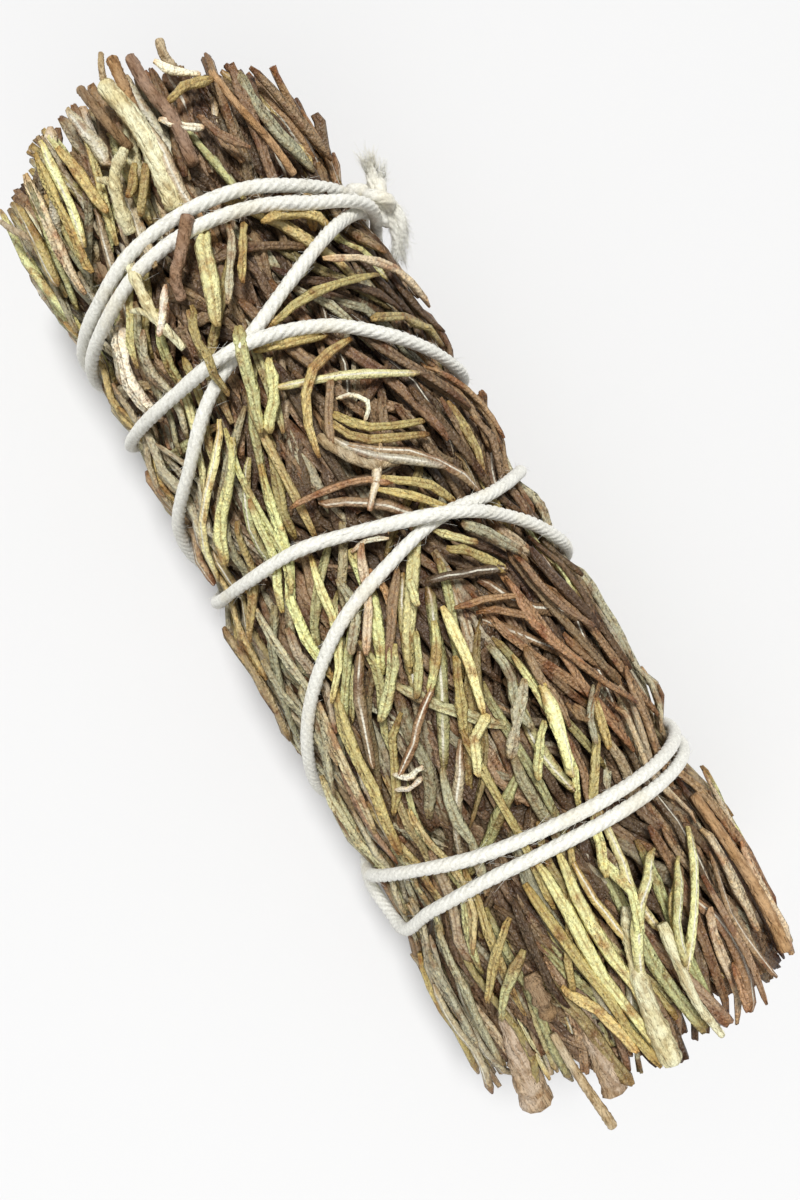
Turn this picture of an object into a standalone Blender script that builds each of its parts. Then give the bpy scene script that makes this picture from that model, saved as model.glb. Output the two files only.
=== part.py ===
"""Dried rosemary bundle, wound criss-cross with cotton string.

Run with: blender --background --python part.py

Units are metres, +Z up. The bundle lies along X with its woody end towards +X, on the flattened
undersides of the string's turns. It is modelled round its own axis and then set on the ground, with
the origin at the middle of its underside. Angles go round the axis in degrees: 0 is on top and 90 is
towards +Y. A depth is measured inwards from the bundle's outer surface.
"""

import math
import random

import bmesh
import bpy
import numpy as np
from mathutils import Vector
from mathutils.kdtree import KDTree

MM = 0.001

# The bundle's outer surface
RADIUS_THIN_END = 16.1 * MM  # at the -X end
RADIUS_THICK_END = 17.3 * MM  # at the +X end
TAPER_FROM_X, TAPER_TO_X = -45 * MM, 10 * MM  # the stretch over which the radius grows
UNDERSIDE = 15.0 * MM  # from the axis down to the flattened underside
LOW_END_X, HIGH_END_X = -48.4 * MM, 43.8 * MM  # where the trimmed needles begin to end
END_SLANT = 1.3 * MM  # how much further the low end reaches on top, and both on one side
END_RAGGED = 2.4 * MM  # how unequal their lengths are
TOUCH_GAP = 0.3 * MM  # between pieces that rest on each other

# The string
STRING_DIAMETER = 1.3 * MM
STRING_DEPTH = 0.3 * MM  # of its centre underneath
STRING_DEPTH_ON_TOP = 0.85 * MM  # where it is pressed into the needles
STRING_STEP = 20.0  # degrees between its points
STRING_SPACING = 1.1 * STRING_DIAMETER  # from strand to strand where they cross
HUMP_HALF_LENGTH = 8 * MM  # of the hump by which a later strand passes over an earlier one
PRESSED_FLAT = 0.52 * MM  # from the string's centre down to its flat underside

# The winding: x in mm at these angles, one row for each turn from the knot's start to its end
TURN_ANGLES = (75, 45, 20, 0, -20, -45, -75, -110, -145, -180, -215, -250)
TURNS_MM = (
    (-34.2, -31.8, -28.6, -25.9, -23.6, -19.2, -16.2, -11.8, -8.6, -7.0, -6.0, -5.3),
    (-4.9, -4.2, -4.4, -3.0, -0.9, 3.6, 10.0, 15.2, 19.6, 21.6, 22.9, 23.9),
    (24.3, 24.1, 23.5, 22.9, 22.3, 21.4, 21.4, 22.1, 23.2, 24.0, 24.7, 25.5),
    (26.0, 25.7, 25.1, 24.6, 24.5, 25.4, 27.2, 21.5, 14.8, 10.8, 7.8, 5.4),
    (2.9, -1.8, -4.7, -6.6, -8.0, -8.2, -8.5, -10.0, -11.8, -13.2, -14.5, -15.5),
    (-16.6, -20.4, -23.9, -25.0, -25.3, -25.4, -26.0, -27.6, -29.2, -30.4, -31.4, -32.2),
    (-32.9, -34.4, -35.8, -36.3, -36.0, -34.6, -33.8, -33.7, -34.0, -34.3, -34.6, -34.9),
    (-35.4, -36.3, -37.6, -37.9, -37.6, -36.2, -35.5, -35.6, -35.8, -36.1, -36.4, -36.8),
)
KNOT_X, KNOT_ANGLE = -35.2 * MM, 78.0
KNOT_LIFT = 1.9 * MM  # of its centre above the bundle's surface
KNOT_SIZE = 0.66 * MM  # a third of the loops' reach
KNOT_STEPS = 20

# The sprigs
OUTER_SPRIGS, INNER_SPRIGS = 9, 3
FIRST_EDGE = -100.0  # the angle at which the first outer sprig begins
EDGE_WAVE = 2.5  # degrees by which the line between two sprigs waves
EDGE_WAVELENGTH = 52 * MM
INNER_SPRIG_REACH = 6.6 * MM  # from the axis
OUTER_SPRIG_REACH = 7.3 * MM  # from the axis to the outer sprigs' inner side
CORE_DEPTH = 2.7 * MM  # of the packed inner needles, which the others stand out of
CORE_RIDGE = 0.35 * MM  # the height of the ridges along it, each as wide as a needle
OUTER_RIDGES, INNER_RIDGES = 4, 2
CORE_FROM_X, CORE_TO_X = -42.0 * MM, 37.0 * MM
CORE_STATIONS = 7
CORE_END_RAGGED = 1.4 * MM
CORE_TIP = 0.4 * MM  # from the axis to an inner sprig's core
ROOT_INSET = 1.5 * MM  # from a core's end to the nearest root

# The needles
NEEDLE_WIDTH = (1.25 * MM, 1.6 * MM)
NEEDLE_HEIGHT = 1.0 * MM
NEEDLE_LENGTH = (12 * MM, 18 * MM)
NEEDLE_DEPTH = (0.75 * MM, 1.2 * MM)  # of its tip
NEEDLE_ROOT_DEPTH = 3.4 * MM
NEEDLE_SHOULDER = 0.86  # where it is widest, as a share of its length
NEEDLE_SLANT = 11.0  # degrees either way
LOWERING_STEP = 0.15 * MM  # by which a needle is bent down until it is clear of the string
MOST_LOWERING_STEPS = 20
ROWS_A_SPRIG, NEEDLES_A_ROW = 8, 4
END_ROOT = 3 * MM  # how deep the needles of a trimmed end are sunk into the core
END_SWAY = 0.4 * MM  # of their tips, either way
MOST_TRIES = 400  # at finding a free spot for the next of them
TIPS_AN_END = 7  # needles that end in each sprig's trimmed face

# The stems
STEM_RADIUS = (0.95 * MM, 1.3 * MM)
OUTER_STEM_REACH, INNER_STEM_REACH = 10.7 * MM, 3.5 * MM  # from the axis
STEM_WAVE = 0.35 * MM
STEM_POINTS = 5
STEM_SIDES = 8
SEED = 7

LEAF_COLOURS = {
    "grey_olive": (0.30, 0.28, 0.17),
    "pale_green": (0.40, 0.39, 0.19),
    "brown": (0.25, 0.18, 0.10),
    "rust": (0.30, 0.17, 0.10),
}
OUTER_COLOURS = ("grey_olive", "pale_green", "pale_green", "rust", "brown", "grey_olive", "brown")
INNER_COLOURS = ("brown", "grey_olive", "brown")
STEM_COLOUR = (0.42, 0.30, 0.17)
STRING_COLOUR = (0.86, 0.84, 0.79)


def surface_radius(x, angle):
    """Distance from the bundle's axis to its outer surface."""
    share = min(1.0, max(0.0, (x - TAPER_FROM_X) / (TAPER_TO_X - TAPER_FROM_X)))
    radius = RADIUS_THIN_END + (RADIUS_THICK_END - RADIUS_THIN_END) * share
    down = -math.cos(math.radians(angle))
    return min(radius, UNDERSIDE / down) if down > 0 else radius


def around(x, angle, radius):
    """The point at this distance from the axis."""
    a = math.radians(angle)
    return Vector((x, radius * math.sin(a), radius * math.cos(a)))


def place(x, angle, depth):
    """The point at this depth below the outer surface."""
    return around(x, angle, surface_radius(x, angle) - depth)


def material(name, colour, roughness):
    """A Principled material of one colour."""
    made = bpy.data.materials.new(name)
    made.use_nodes = True
    shader = made.node_tree.nodes["Principled BSDF"]
    shader.inputs["Base Color"].default_value = (*colour, 1.0)
    shader.inputs["Roughness"].default_value = roughness
    return made


def new_object(name, mesh, made_of=None):
    """An object in the scene that holds the bmesh."""
    data = bpy.data.meshes.new(name)
    bmesh.ops.recalc_face_normals(mesh, faces=mesh.faces)
    if mesh.calc_volume(signed=True) < 0:
        bmesh.ops.reverse_faces(mesh, faces=mesh.faces)
    mesh.to_mesh(data)
    mesh.free()
    made = bpy.data.objects.new(name, data)
    bpy.context.scene.collection.objects.link(made)
    if made_of:
        data.materials.append(made_of)
    return made


def loft(rings):
    """A closed bmesh through rings of points, with a flat cap on each end."""
    mesh = bmesh.new()
    loops = [[mesh.verts.new(point) for point in ring] for ring in rings]
    for lower, upper in zip(loops, loops[1:]):
        for i in range(len(lower)):
            after = (i + 1) % len(lower)
            corners = [lower[i], lower[after], upper[after % len(upper)], upper[i % len(upper)]]
            mesh.faces.new(dict.fromkeys(corners))
    for loop in (loops[0], loops[-1]):
        if len(loop) > 2:
            mesh.faces.new(loop)
    return mesh


def applied(target, modifier_type, name, **settings):
    """Puts a modifier on the object and applies it."""
    modifier = target.modifiers.new(name, modifier_type)
    for key, value in settings.items():
        setattr(modifier, key, value)
    graph = bpy.context.evaluated_depsgraph_get()
    result = bpy.data.meshes.new_from_object(target.evaluated_get(graph))
    target.modifiers.clear()
    target.data = result


def join_all(target, others):
    """Joins the others into the target by one union on their collection, and removes them."""
    group = bpy.data.collections.new(target.name + "_repeats")
    for other in others:
        bpy.context.scene.collection.objects.unlink(other)
        group.objects.link(other)
    bpy.context.scene.collection.children.link(group)
    bpy.context.view_layer.update()
    choice = {"operand_type": "COLLECTION", "collection": group, "solver": "MANIFOLD"}
    applied(target, "BOOLEAN", "Join", operation="UNION", **choice)
    remove_all(others)
    bpy.data.collections.remove(group)
    keep_outer_shell(target)


def keep_outer_shell(target):
    """Fills the hollows that a union sealed and drops any loose scrap: only the largest shell stays."""
    mesh = bmesh.new()
    mesh.from_mesh(target.data)
    shells = []
    waiting = set(mesh.verts)
    while waiting:
        shell, front = set(), [waiting.pop()]
        while front:
            vertex = front.pop()
            shell.add(vertex)
            near = {edge.other_vert(vertex) for edge in vertex.link_edges} & waiting
            waiting -= near
            front += near
        shells.append(shell)
    largest = max(shells, key=len)
    bmesh.ops.delete(mesh, geom=[vertex for vertex in mesh.verts if vertex not in largest], context="VERTS")
    mesh.to_mesh(target.data)
    mesh.free()


def cut_away(target, cutter):
    """Cuts the cutter out of the target, and removes the cutter."""
    bpy.context.view_layer.update()
    applied(target, "BOOLEAN", "Cut", operation="DIFFERENCE", object=cutter, solver="MANIFOLD")
    remove_all([cutter])


def remove_all(objects):
    """Removes the objects from the file."""
    for obj in objects:
        bpy.data.objects.remove(obj)


def tube(name, points, radius, made_of=None, closed=False):
    """A round eight-sided tube through the points."""
    curve = bpy.data.curves.new(name + "_line", "CURVE")
    curve.dimensions = "3D"
    curve.bevel_depth = radius
    curve.bevel_resolution = 2
    curve.use_fill_caps = not closed
    spline = curve.splines.new("POLY")
    spline.points.add(len(points) - 1)
    for spot, point in zip(spline.points, points):
        spot.co = (*point, 1.0)
    spline.use_cyclic_u = closed
    line = bpy.data.objects.new(name + "_line", curve)
    bpy.context.scene.collection.objects.link(line)
    graph = bpy.context.evaluated_depsgraph_get()
    mesh = bmesh.new()
    mesh.from_mesh(line.evaluated_get(graph).to_mesh())
    bmesh.ops.remove_doubles(mesh, verts=mesh.verts, dist=0.001 * MM)
    remove_all([line])
    bpy.data.curves.remove(curve)
    return new_object(name, mesh, made_of)


def winding_x(turned):
    """Where the string lies along the bundle when it has turned this many degrees from its first point."""
    starts = [TURN_ANGLES[0] - angle for angle in TURN_ANGLES]
    stations = [360 * turn + start for turn in range(len(TURNS_MM)) for start in starts]
    values = [x for row in TURNS_MM for x in row]
    slopes = np.gradient(values, stations)
    i = min(max(int(np.searchsorted(stations, turned)) - 1, 0), len(stations) - 2)
    span = stations[i + 1] - stations[i]
    t = (turned - stations[i]) / span
    start = (2 * t**3 - 3 * t**2 + 1) * values[i] + (t**3 - 2 * t**2 + t) * span * slopes[i]
    end = (3 * t**2 - 2 * t**3) * values[i + 1] + (t**3 - t**2) * span * slopes[i + 1]
    return (start + end) * MM


def crossings():
    """How far the string has turned each time that it passes over an earlier turn."""
    found = []
    last = len(TURNS_MM) * 360
    for turned in range(360, last):
        for earlier in range(turned - 360, 0, -360):
            before = winding_x(turned) - winding_x(earlier)
            after = winding_x(turned + 1) - winding_x(earlier + 1)
            if before * after <= 0:
                found.append(turned + 0.5)
    return found


def hump(turned, over):
    """How far the string is lifted here by the earlier turns that it passes over."""
    distances = [abs(turned - middle) * math.radians(RADIUS_THICK_END) for middle in over]
    nearest = min(distances + [HUMP_HALF_LENGTH])
    return STRING_SPACING * math.cos(math.pi / 2 * nearest / HUMP_HALF_LENGTH) ** 2


def string_route():
    """The points of the wound string, from where it leaves the knot to where it comes back to it."""
    over = crossings()
    last = len(TURNS_MM) * 360 - 4
    turned = 6.0
    points = []
    while turned < last:
        lift = hump(turned, over)
        angle = TURN_ANGLES[0] - turned
        pressed = 0.5 + 0.5 * math.cos(math.radians(angle))
        depth = STRING_DEPTH + (STRING_DEPTH_ON_TOP - STRING_DEPTH) * math.sqrt(pressed)
        points.append(place(winding_x(turned), angle, depth - lift))
        turned += STRING_STEP * (0.6 if lift > STRING_DIAMETER / 10 else 1.0)
    knot = knot_frame()
    return [knot(0.9, -0.2, -0.4)] + points + [knot(-1.6, 0.4, -0.4)]


def knot_frame():
    """A function that gives the point at these mm from the knot's centre: along, around and outwards."""
    angle = math.radians(KNOT_ANGLE)
    centre = place(KNOT_X, KNOT_ANGLE, -KNOT_LIFT)
    around_it = Vector((0, math.cos(angle), -math.sin(angle)))
    outwards = Vector((0, math.sin(angle), math.cos(angle)))

    def at(along, across, out):
        return centre + (Vector((along, 0, 0)) + around_it * across + outwards * out) * MM

    return at


def make_string(made_of):
    """The whole string: its winding, the overhand knot and the two tails, pressed flat underneath."""
    radius = STRING_DIAMETER / 2
    route = string_route()
    string = tube("string", route, radius, made_of)
    at = knot_frame()
    size = KNOT_SIZE / MM
    loop = []
    for step in range(KNOT_STEPS):
        t = math.tau * step / KNOT_STEPS
        along = size * (math.sin(t) + 2 * math.sin(2 * t))
        across = size * (math.cos(t) - 2 * math.cos(2 * t))
        loop.append(at(along, across, -1.1 * size * math.sin(3 * t)))
    knot = tube("knot", loop, radius, closed=True)
    first_tail = [at(-1.0, 0, 0), at(-2.2, 0.3, 0.3), at(-3.3, 0.1, 1.0)]
    first_tail += [at(-4.3, -0.6, 2.0), at(-5.0, -1.4, 2.7)]
    second_tail = [at(1.0, 0, 0), at(2.3, 0.7, 0.1), at(3.3, 1.4, -0.5), at(4.4, 1.7, -1.2)]
    tails = [tube("tail", points, radius) for points in (first_tail, second_tail)]
    join_all(string, [knot, *tails])
    floor = bmesh.new()
    bmesh.ops.create_cube(floor, size=1.0)
    bmesh.ops.scale(floor, vec=(0.2, 0.2, 0.02), verts=floor.verts)
    depth = UNDERSIDE - STRING_DEPTH + PRESSED_FLAT + 0.01
    bmesh.ops.translate(floor, vec=(0, 0, -depth), verts=floor.verts)
    cut_away(string, new_object("floor", floor))
    return string, (route, loop, first_tail, second_tail)


def string_tree(runs):
    """A tree of points close together along the string, which needles are kept clear of."""
    close = []
    for run in runs:
        for start, end in zip(run, run[1:]):
            steps = max(2, int((end - start).length / (0.4 * MM)))
            close += [start.lerp(end, step / steps) for step in range(steps)]
    tree = KDTree(len(close))
    for number, point in enumerate(close):
        tree.insert(point, number)
    tree.balance()
    return tree


class Lane:
    """The stretch of the bundle's cross-section that one sprig fills."""

    def __init__(self, number, sprigs, inner):
        self.number = number
        self.sprigs = sprigs
        self.inner = inner
        self.stem_reach = INNER_STEM_REACH if inner else OUTER_STEM_REACH

    def edge(self, x, far):
        """The angle of one of its sides."""
        number = self.number + far
        wave = math.sin(math.tau * x / EDGE_WAVELENGTH + 1.9 * (number % self.sprigs))
        return FIRST_EDGE + 360 * number / self.sprigs + EDGE_WAVE * wave

    def angle(self, x, share, reach, margin):
        """The angle at this share of the way across it, where the margin is kept at both sides."""
        kept = math.degrees(margin / reach)
        low, high = self.edge(x, 0) + kept, self.edge(x, 1) - kept
        return low + (high - low) * min(1.0, max(0.0, share))

    def outside(self, x, angle):
        """How far from the axis its core reaches."""
        return INNER_SPRIG_REACH if self.inner else surface_radius(x, angle) - CORE_DEPTH

    def stem_at(self, x):
        """The stem's centre."""
        wave = STEM_WAVE * math.sin(x / (9 * MM) + self.number)
        return around(x, self.angle(x, 0.5, self.stem_reach, 0), self.stem_reach + wave)


def core(lane):
    """The packed inner needles of a sprig, as one solid."""
    side = TOUCH_GAP / 2
    ridges = INNER_RIDGES if lane.inner else OUTER_RIDGES
    rings = []
    for station in range(CORE_STATIONS):
        x = CORE_FROM_X + (CORE_TO_X - CORE_FROM_X) * station / (CORE_STATIONS - 1)
        at_end = station in (0, CORE_STATIONS - 1)
        ring = []
        for step in range(2 * ridges + 1):
            angle = lane.angle(x, step / (2 * ridges), INNER_SPRIG_REACH, side)
            ragged_x = x + (CORE_END_RAGGED * math.sin(5 * step + lane.number) if at_end else 0)
            ring.append(around(ragged_x, angle, lane.outside(x, angle) - CORE_RIDGE * (1 - step % 2)))
        if lane.inner:
            ring.append(around(x, lane.angle(x, 0.5, CORE_TIP, 0), CORE_TIP))
        else:
            for share in (1, 0.5, 0):
                ring.append(around(x, lane.angle(x, share, OUTER_SPRIG_REACH, side), OUTER_SPRIG_REACH))
        rings.append(ring)
    return loft(rings)


def needle(points, width):
    """A three-sided needle from its narrow root, through its wide shoulder, to its tip."""
    root, shoulder, tip = points
    rings = []
    for point, share in ((root, 0.5), (shoulder, 1.0)):
        outwards = Vector((0, point.y, point.z)).normalized()
        across = (tip - root).normalized().cross(outwards) * width / 2 * share
        low = point - outwards * NEEDLE_HEIGHT * 0.4 * share
        rings.append([low + across, low - across, point + outwards * NEEDLE_HEIGHT * 0.6 * share])
    rings.append([tip])
    return new_object("needle", loft(rings))


def clear_of_string(points, width, tree):
    """The needle's points, lowered until it lies under the string."""
    apart = STRING_DIAMETER / 2 + TOUCH_GAP + width / 2
    for _ in range(MOST_LOWERING_STEPS):
        root, shoulder, tip = points
        samples = [root.lerp(shoulder, share / 12) for share in range(4, 13)] + [shoulder.lerp(tip, 0.5), tip]
        if all(tree.find(sample)[2] > apart for sample in samples):
            break
        down = -Vector((0, tip.y, tip.z)).normalized() * LOWERING_STEP
        points = [root, shoulder + down, tip + down]
    return points


def trimmed_end(low, angle, draw):
    """Where along the bundle something at this angle was trimmed."""
    a = math.radians(angle)
    ragged = END_RAGGED * draw.random()
    if low:
        return LOW_END_X + END_SLANT * (math.sin(a) - math.cos(a)) - ragged
    return HIGH_END_X + END_SLANT * math.sin(a) + ragged


def surface_needles(lane, draw, tree):
    """The needles that lie along an outer sprig, in rows from its foot, where they turn back, to its tip."""
    made = []
    tips_low = lane.number % 3 != 1
    foot, head = (CORE_TO_X, CORE_FROM_X) if tips_low else (CORE_FROM_X, CORE_TO_X)
    for row in range(ROWS_A_SPRIG):
        for place_in_row in range(NEEDLES_A_ROW):
            width = draw.uniform(*NEEDLE_WIDTH)
            length = draw.uniform(*NEEDLE_LENGTH)
            depth = draw.uniform(*NEEDLE_DEPTH)
            slant = math.radians(draw.uniform(-NEEDLE_SLANT, NEEDLE_SLANT))
            root_x = foot + (head - foot) * (row + draw.uniform(-0.4, 0.4)) / (ROWS_A_SPRIG - 1)
            step = -1 if tips_low else 1
            if row == 0:
                root_x += step * length / 2
                step = -step
            root_x = max(CORE_FROM_X + ROOT_INSET, min(CORE_TO_X - ROOT_INSET, root_x))
            share = (place_in_row + 0.25 + 0.5 * (row % 2)) / NEEDLES_A_ROW + draw.uniform(-0.06, 0.06)
            angle = lane.angle(root_x, share, RADIUS_THIN_END, 0)
            tip_x = root_x + step * length * math.cos(slant)
            tip_x = max(tip_x, trimmed_end(True, angle, draw))
            tip_x = min(tip_x, trimmed_end(False, angle, draw))
            drift = math.sin(slant) * length / (math.radians(360 / OUTER_SPRIGS) * RADIUS_THICK_END)
            points = []
            shoulder_depth = depth + (NEEDLE_ROOT_DEPTH - depth) * (1 - NEEDLE_SHOULDER)
            for along, down in ((0, NEEDLE_ROOT_DEPTH), (NEEDLE_SHOULDER, shoulder_depth), (1, depth)):
                x = root_x + (tip_x - root_x) * along
                angle = lane.angle(x, share + drift * along, UNDERSIDE, width / 2 + 0.8 * TOUCH_GAP)
                points.append(place(x, angle, down))
            made.append(needle(clear_of_string(points, width, tree), width))
    return made


def end_needles(lane, low, draw):
    """The needles that stand out of a sprig's trimmed end."""
    spots, made = [], []
    face_x = CORE_FROM_X if low else CORE_TO_X
    stem = lane.stem_at(face_x)
    clear = STEM_RADIUS[1] + TOUCH_GAP + NEEDLE_WIDTH[1] / 2
    inside = NEEDLE_WIDTH[1] if lane.inner else OUTER_SPRIG_REACH + NEEDLE_WIDTH[1] / 2
    for _ in range(MOST_TRIES):
        share = draw.random()
        reach = draw.uniform(inside, lane.outside(face_x, lane.edge(face_x, 0)) - NEEDLE_HEIGHT * 0.7)
        angle = lane.angle(face_x, share, reach, NEEDLE_WIDTH[1] / 2 + TOUCH_GAP)
        spot = around(face_x, angle, reach)
        if (spot - stem).length < clear or any((spot - other).length < NEEDLE_WIDTH[0] for other in spots):
            continue
        spots.append(spot)
        end_x = trimmed_end(low, angle, draw)
        root = spot + Vector((END_ROOT if low else -END_ROOT, 0, 0))
        shoulder = root.lerp(Vector((end_x, spot.y, spot.z)), NEEDLE_SHOULDER)
        sway = [draw.uniform(-END_SWAY, END_SWAY) for _ in range(2)]
        tip = Vector((end_x, spot.y + sway[0], spot.z + sway[1]))
        made.append(needle((root, shoulder, tip), draw.uniform(*NEEDLE_WIDTH)))
        if len(spots) == TIPS_AN_END:
            break
    return made


def make_sprig(name, lane, draw, tree, leaf, wood):
    """A sprig's leaves, round the plain hole in which its stem stands, and the stem."""
    radius = draw.uniform(*STEM_RADIUS)
    angle = lane.angle(0, 0.5, lane.stem_reach, 0)
    low, high = trimmed_end(True, angle, draw), trimmed_end(False, angle, draw)
    line = [lane.stem_at(low + (high - low) * step / (STEM_POINTS - 1)) for step in range(STEM_POINTS)]
    leaves = new_object(name + "_leaves", core(lane), leaf)
    cut_away(leaves, tube("hole", line, radius + 1.15 * TOUCH_GAP))
    repeats = end_needles(lane, True, draw) + end_needles(lane, False, draw)
    if not lane.inner:
        repeats += surface_needles(lane, draw, tree)
    join_all(leaves, repeats)
    stem = tube(name + "_stem", line, radius, wood)
    return [leaves, stem]


def main():
    remove_all(list(bpy.data.objects))
    draw = random.Random(SEED)
    leaf = {name: material("rosemary_" + name, colour, 0.8) for name, colour in LEAF_COLOURS.items()}
    wood = material("woody_stem", STEM_COLOUR, 0.75)
    cotton = material("cotton_string", STRING_COLOUR, 0.9)
    string, runs = make_string(cotton)
    tree = string_tree(runs)
    pieces = [string]
    for number in range(OUTER_SPRIGS):
        lane = Lane(number, OUTER_SPRIGS, inner=False)
        name = f"outer_sprig_{number + 1}"
        pieces += make_sprig(name, lane, draw, tree, leaf[OUTER_COLOURS[number % len(OUTER_COLOURS)]], wood)
    for number in range(INNER_SPRIGS):
        lane = Lane(number, INNER_SPRIGS, inner=True)
        name = f"inner_sprig_{number + 1}"
        pieces += make_sprig(name, lane, draw, tree, leaf[INNER_COLOURS[number]], wood)
    corners = np.array([vertex.co for piece in pieces for vertex in piece.data.vertices])
    low, high = corners.min(axis=0), corners.max(axis=0)
    bundle = bpy.data.objects.new("bundle", None)
    bundle.location = (-(low[0] + high[0]) / 2, -(low[1] + high[1]) / 2, -low[2])
    bpy.context.scene.collection.objects.link(bundle)
    for piece in pieces:
        piece.data.shade_flat()
        piece.parent = bundle


main()
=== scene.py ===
"""Dried rosemary bundle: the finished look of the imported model.

The bundle lies along X on the ground plane. Its sprigs are rebuilt from single curved needles that
are laid over one another from the inside out, each where it comes to rest on those below it and
under the string. Positions are worked out round the bundle's own axis, as (x, angle, radius), with
angles in radians from the top towards +Y, and are moved into the model's frame at the end.
"""

from __future__ import annotations

import logging
import math
from collections.abc import Callable
from dataclasses import dataclass, field, replace
from enum import Enum

import bmesh
import bpy
import numpy as np
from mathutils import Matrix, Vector


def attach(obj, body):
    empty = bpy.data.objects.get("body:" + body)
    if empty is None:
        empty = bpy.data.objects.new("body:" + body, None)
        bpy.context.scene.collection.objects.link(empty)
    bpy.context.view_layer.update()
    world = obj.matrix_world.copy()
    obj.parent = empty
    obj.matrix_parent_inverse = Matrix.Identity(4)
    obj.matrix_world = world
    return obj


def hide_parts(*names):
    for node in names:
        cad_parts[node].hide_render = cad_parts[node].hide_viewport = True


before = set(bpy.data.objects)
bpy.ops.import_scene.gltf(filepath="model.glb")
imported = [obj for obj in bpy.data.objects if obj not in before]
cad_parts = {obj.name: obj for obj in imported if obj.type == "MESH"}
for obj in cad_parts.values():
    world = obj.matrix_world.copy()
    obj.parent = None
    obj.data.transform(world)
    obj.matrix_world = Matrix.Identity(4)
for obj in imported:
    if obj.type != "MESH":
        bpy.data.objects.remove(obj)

MM = 0.001
LOG = logging.getLogger("rosemary")
SEED = 20
OUTER_SPRIGS, INNER_SPRIGS = 9, 3
FIRST_LANE = -100  # the angle in degrees at which the first outer sprig begins
FLAT_BELOW = -0.6  # the cosine of the angle below which the bundle is pressed flat
PATCH_SHARPNESS = 1.6  # how soon one patch gives way to the next
SUNK = 0.65  # how deep a twig lies in the needles, as a share of its radius
SOFT = np.hanning(17)[1:-1]  # rounds off the line that a needle rests on
SOFT /= SOFT.sum()

Array = np.ndarray
Chance = np.random.Generator
Socket = bpy.types.NodeSocket
Colour = tuple[float, float, float]
Route = tuple[tuple[float, float, float], ...]


class Tone(Enum):
    """The colours that rosemary needles and twigs dry to, in linear light."""

    PALE_GREEN = (0.70, 0.69, 0.34)
    YELLOW_OLIVE = (0.53, 0.43, 0.18)
    GREY_OLIVE = (0.48, 0.45, 0.31)
    TAN = (0.63, 0.52, 0.35)
    BROWN = (0.33, 0.225, 0.13)
    # Also the painted shade of the bundle: the dark core and the deep filling take this colour to stand for
    # the shade between the needles.
    DARK_BROWN = (0.115, 0.075, 0.043)
    RUST = (0.37, 0.23, 0.12)
    CREAM = (0.84, 0.80, 0.60)
    PALE_NODE = (0.95, 0.92, 0.62)
    ORANGE_WOOD = (0.56, 0.36, 0.19)
    RED_BARK = (0.38, 0.25, 0.17)
    STUMP = (0.62, 0.49, 0.36)


def smooth_through(at: Array, places: Array, values: Array) -> Array:
    """A smooth curve through some values.

    Args:
        at: Where it is read.
        places: Where the values are.
        values: What it goes through.

    Returns:
        The curve at each place read.
    """
    slopes = np.gradient(values, places)
    i = np.clip(np.searchsorted(places, at) - 1, 0, len(places) - 2)
    span = places[i + 1] - places[i]
    t = (at - places[i]) / span
    start = (2 * t**3 - 3 * t**2 + 1) * values[i] + (t**3 - 2 * t**2 + t) * span * slopes[i]
    end = (3 * t**2 - 2 * t**3) * values[i + 1] + (t**3 - t**2) * span * slopes[i + 1]
    return start + end


def spread(values: Array, reach: int, pick: Callable[..., Array]) -> Array:
    """The highest or lowest value near each place in a row.

    Args:
        values: The row.
        reach: How many places on each side count as near.
        pick: np.max or np.min.

    Returns:
        A row of the same length.
    """
    padded = np.pad(values, reach, mode="edge")
    return pick(np.lib.stride_tricks.sliding_window_view(padded, 2 * reach + 1), axis=1)


def softened(values: Array, kernel: Array = SOFT) -> Array:
    """A row of values with its corners rounded off.

    Args:
        values: The row.
        kernel: How much each neighbour counts, with a sum of one and an odd length.

    Returns:
        A row of the same length.
    """
    return np.convolve(np.pad(values, len(kernel) // 2, mode="edge"), kernel, mode="valid")


def put(name: str, data: bpy.types.ID) -> bpy.types.Object:
    """Puts something into the scene.

    Args:
        name: Its name.
        data: Its mesh, curve, lamp or camera.

    Returns:
        The object that shows it.
    """
    item = bpy.data.objects.new(name, data)
    bpy.context.scene.collection.objects.link(item)
    return item


@dataclass(frozen=True)
class Roll:
    """The outer surface of the rolled bundle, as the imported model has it."""

    thin_radius: float = 16.1 * MM
    thick_radius: float = 17.3 * MM
    taper: tuple[float, float] = (-45 * MM, 10 * MM)
    underside: float = 15.0 * MM
    low_end: float = -48.4 * MM
    high_end: float = 43.8 * MM
    end_slant: float = 1.3 * MM
    axis: tuple[float, float, float] = (2.4894 * MM, -1.2756 * MM, 15.22 * MM)

    def radius(self, x: Array, angle: Array) -> Array:
        """Distance from the axis to the outer surface.

        Args:
            x: Position along the bundle.
            angle: Angle round it.

        Returns:
            The radius, with the flattened underside.
        """
        share = np.clip((x - self.taper[0]) / (self.taper[1] - self.taper[0]), 0, 1)
        radius = self.thin_radius + (self.thick_radius - self.thin_radius) * share
        down = np.maximum(-np.cos(angle), 1e-6)
        return np.minimum(radius, self.underside / down)

    def end(self, low: bool, angle: Array) -> Array:
        """Where the needles were trimmed.

        Args:
            low: Whether at the -X end.
            angle: Angle round the bundle.

        Returns:
            The x of the shortest needles there.
        """
        if low:
            return self.low_end + self.end_slant * (np.sin(angle) - np.cos(angle))
        return self.high_end + self.end_slant * np.sin(angle)

    def point(self, x: Array, angle: Array, radius: Array) -> Array:
        """Points in the model's frame.

        Args:
            x: Position along the bundle.
            angle: Angle round it.
            radius: Distance from the axis.

        Returns:
            An array with a last axis of three.
        """
        local = np.stack(np.broadcast_arrays(x, radius * np.sin(angle), radius * np.cos(angle)), axis=-1)
        return local + np.array(self.axis)


ROLL = Roll()


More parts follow.
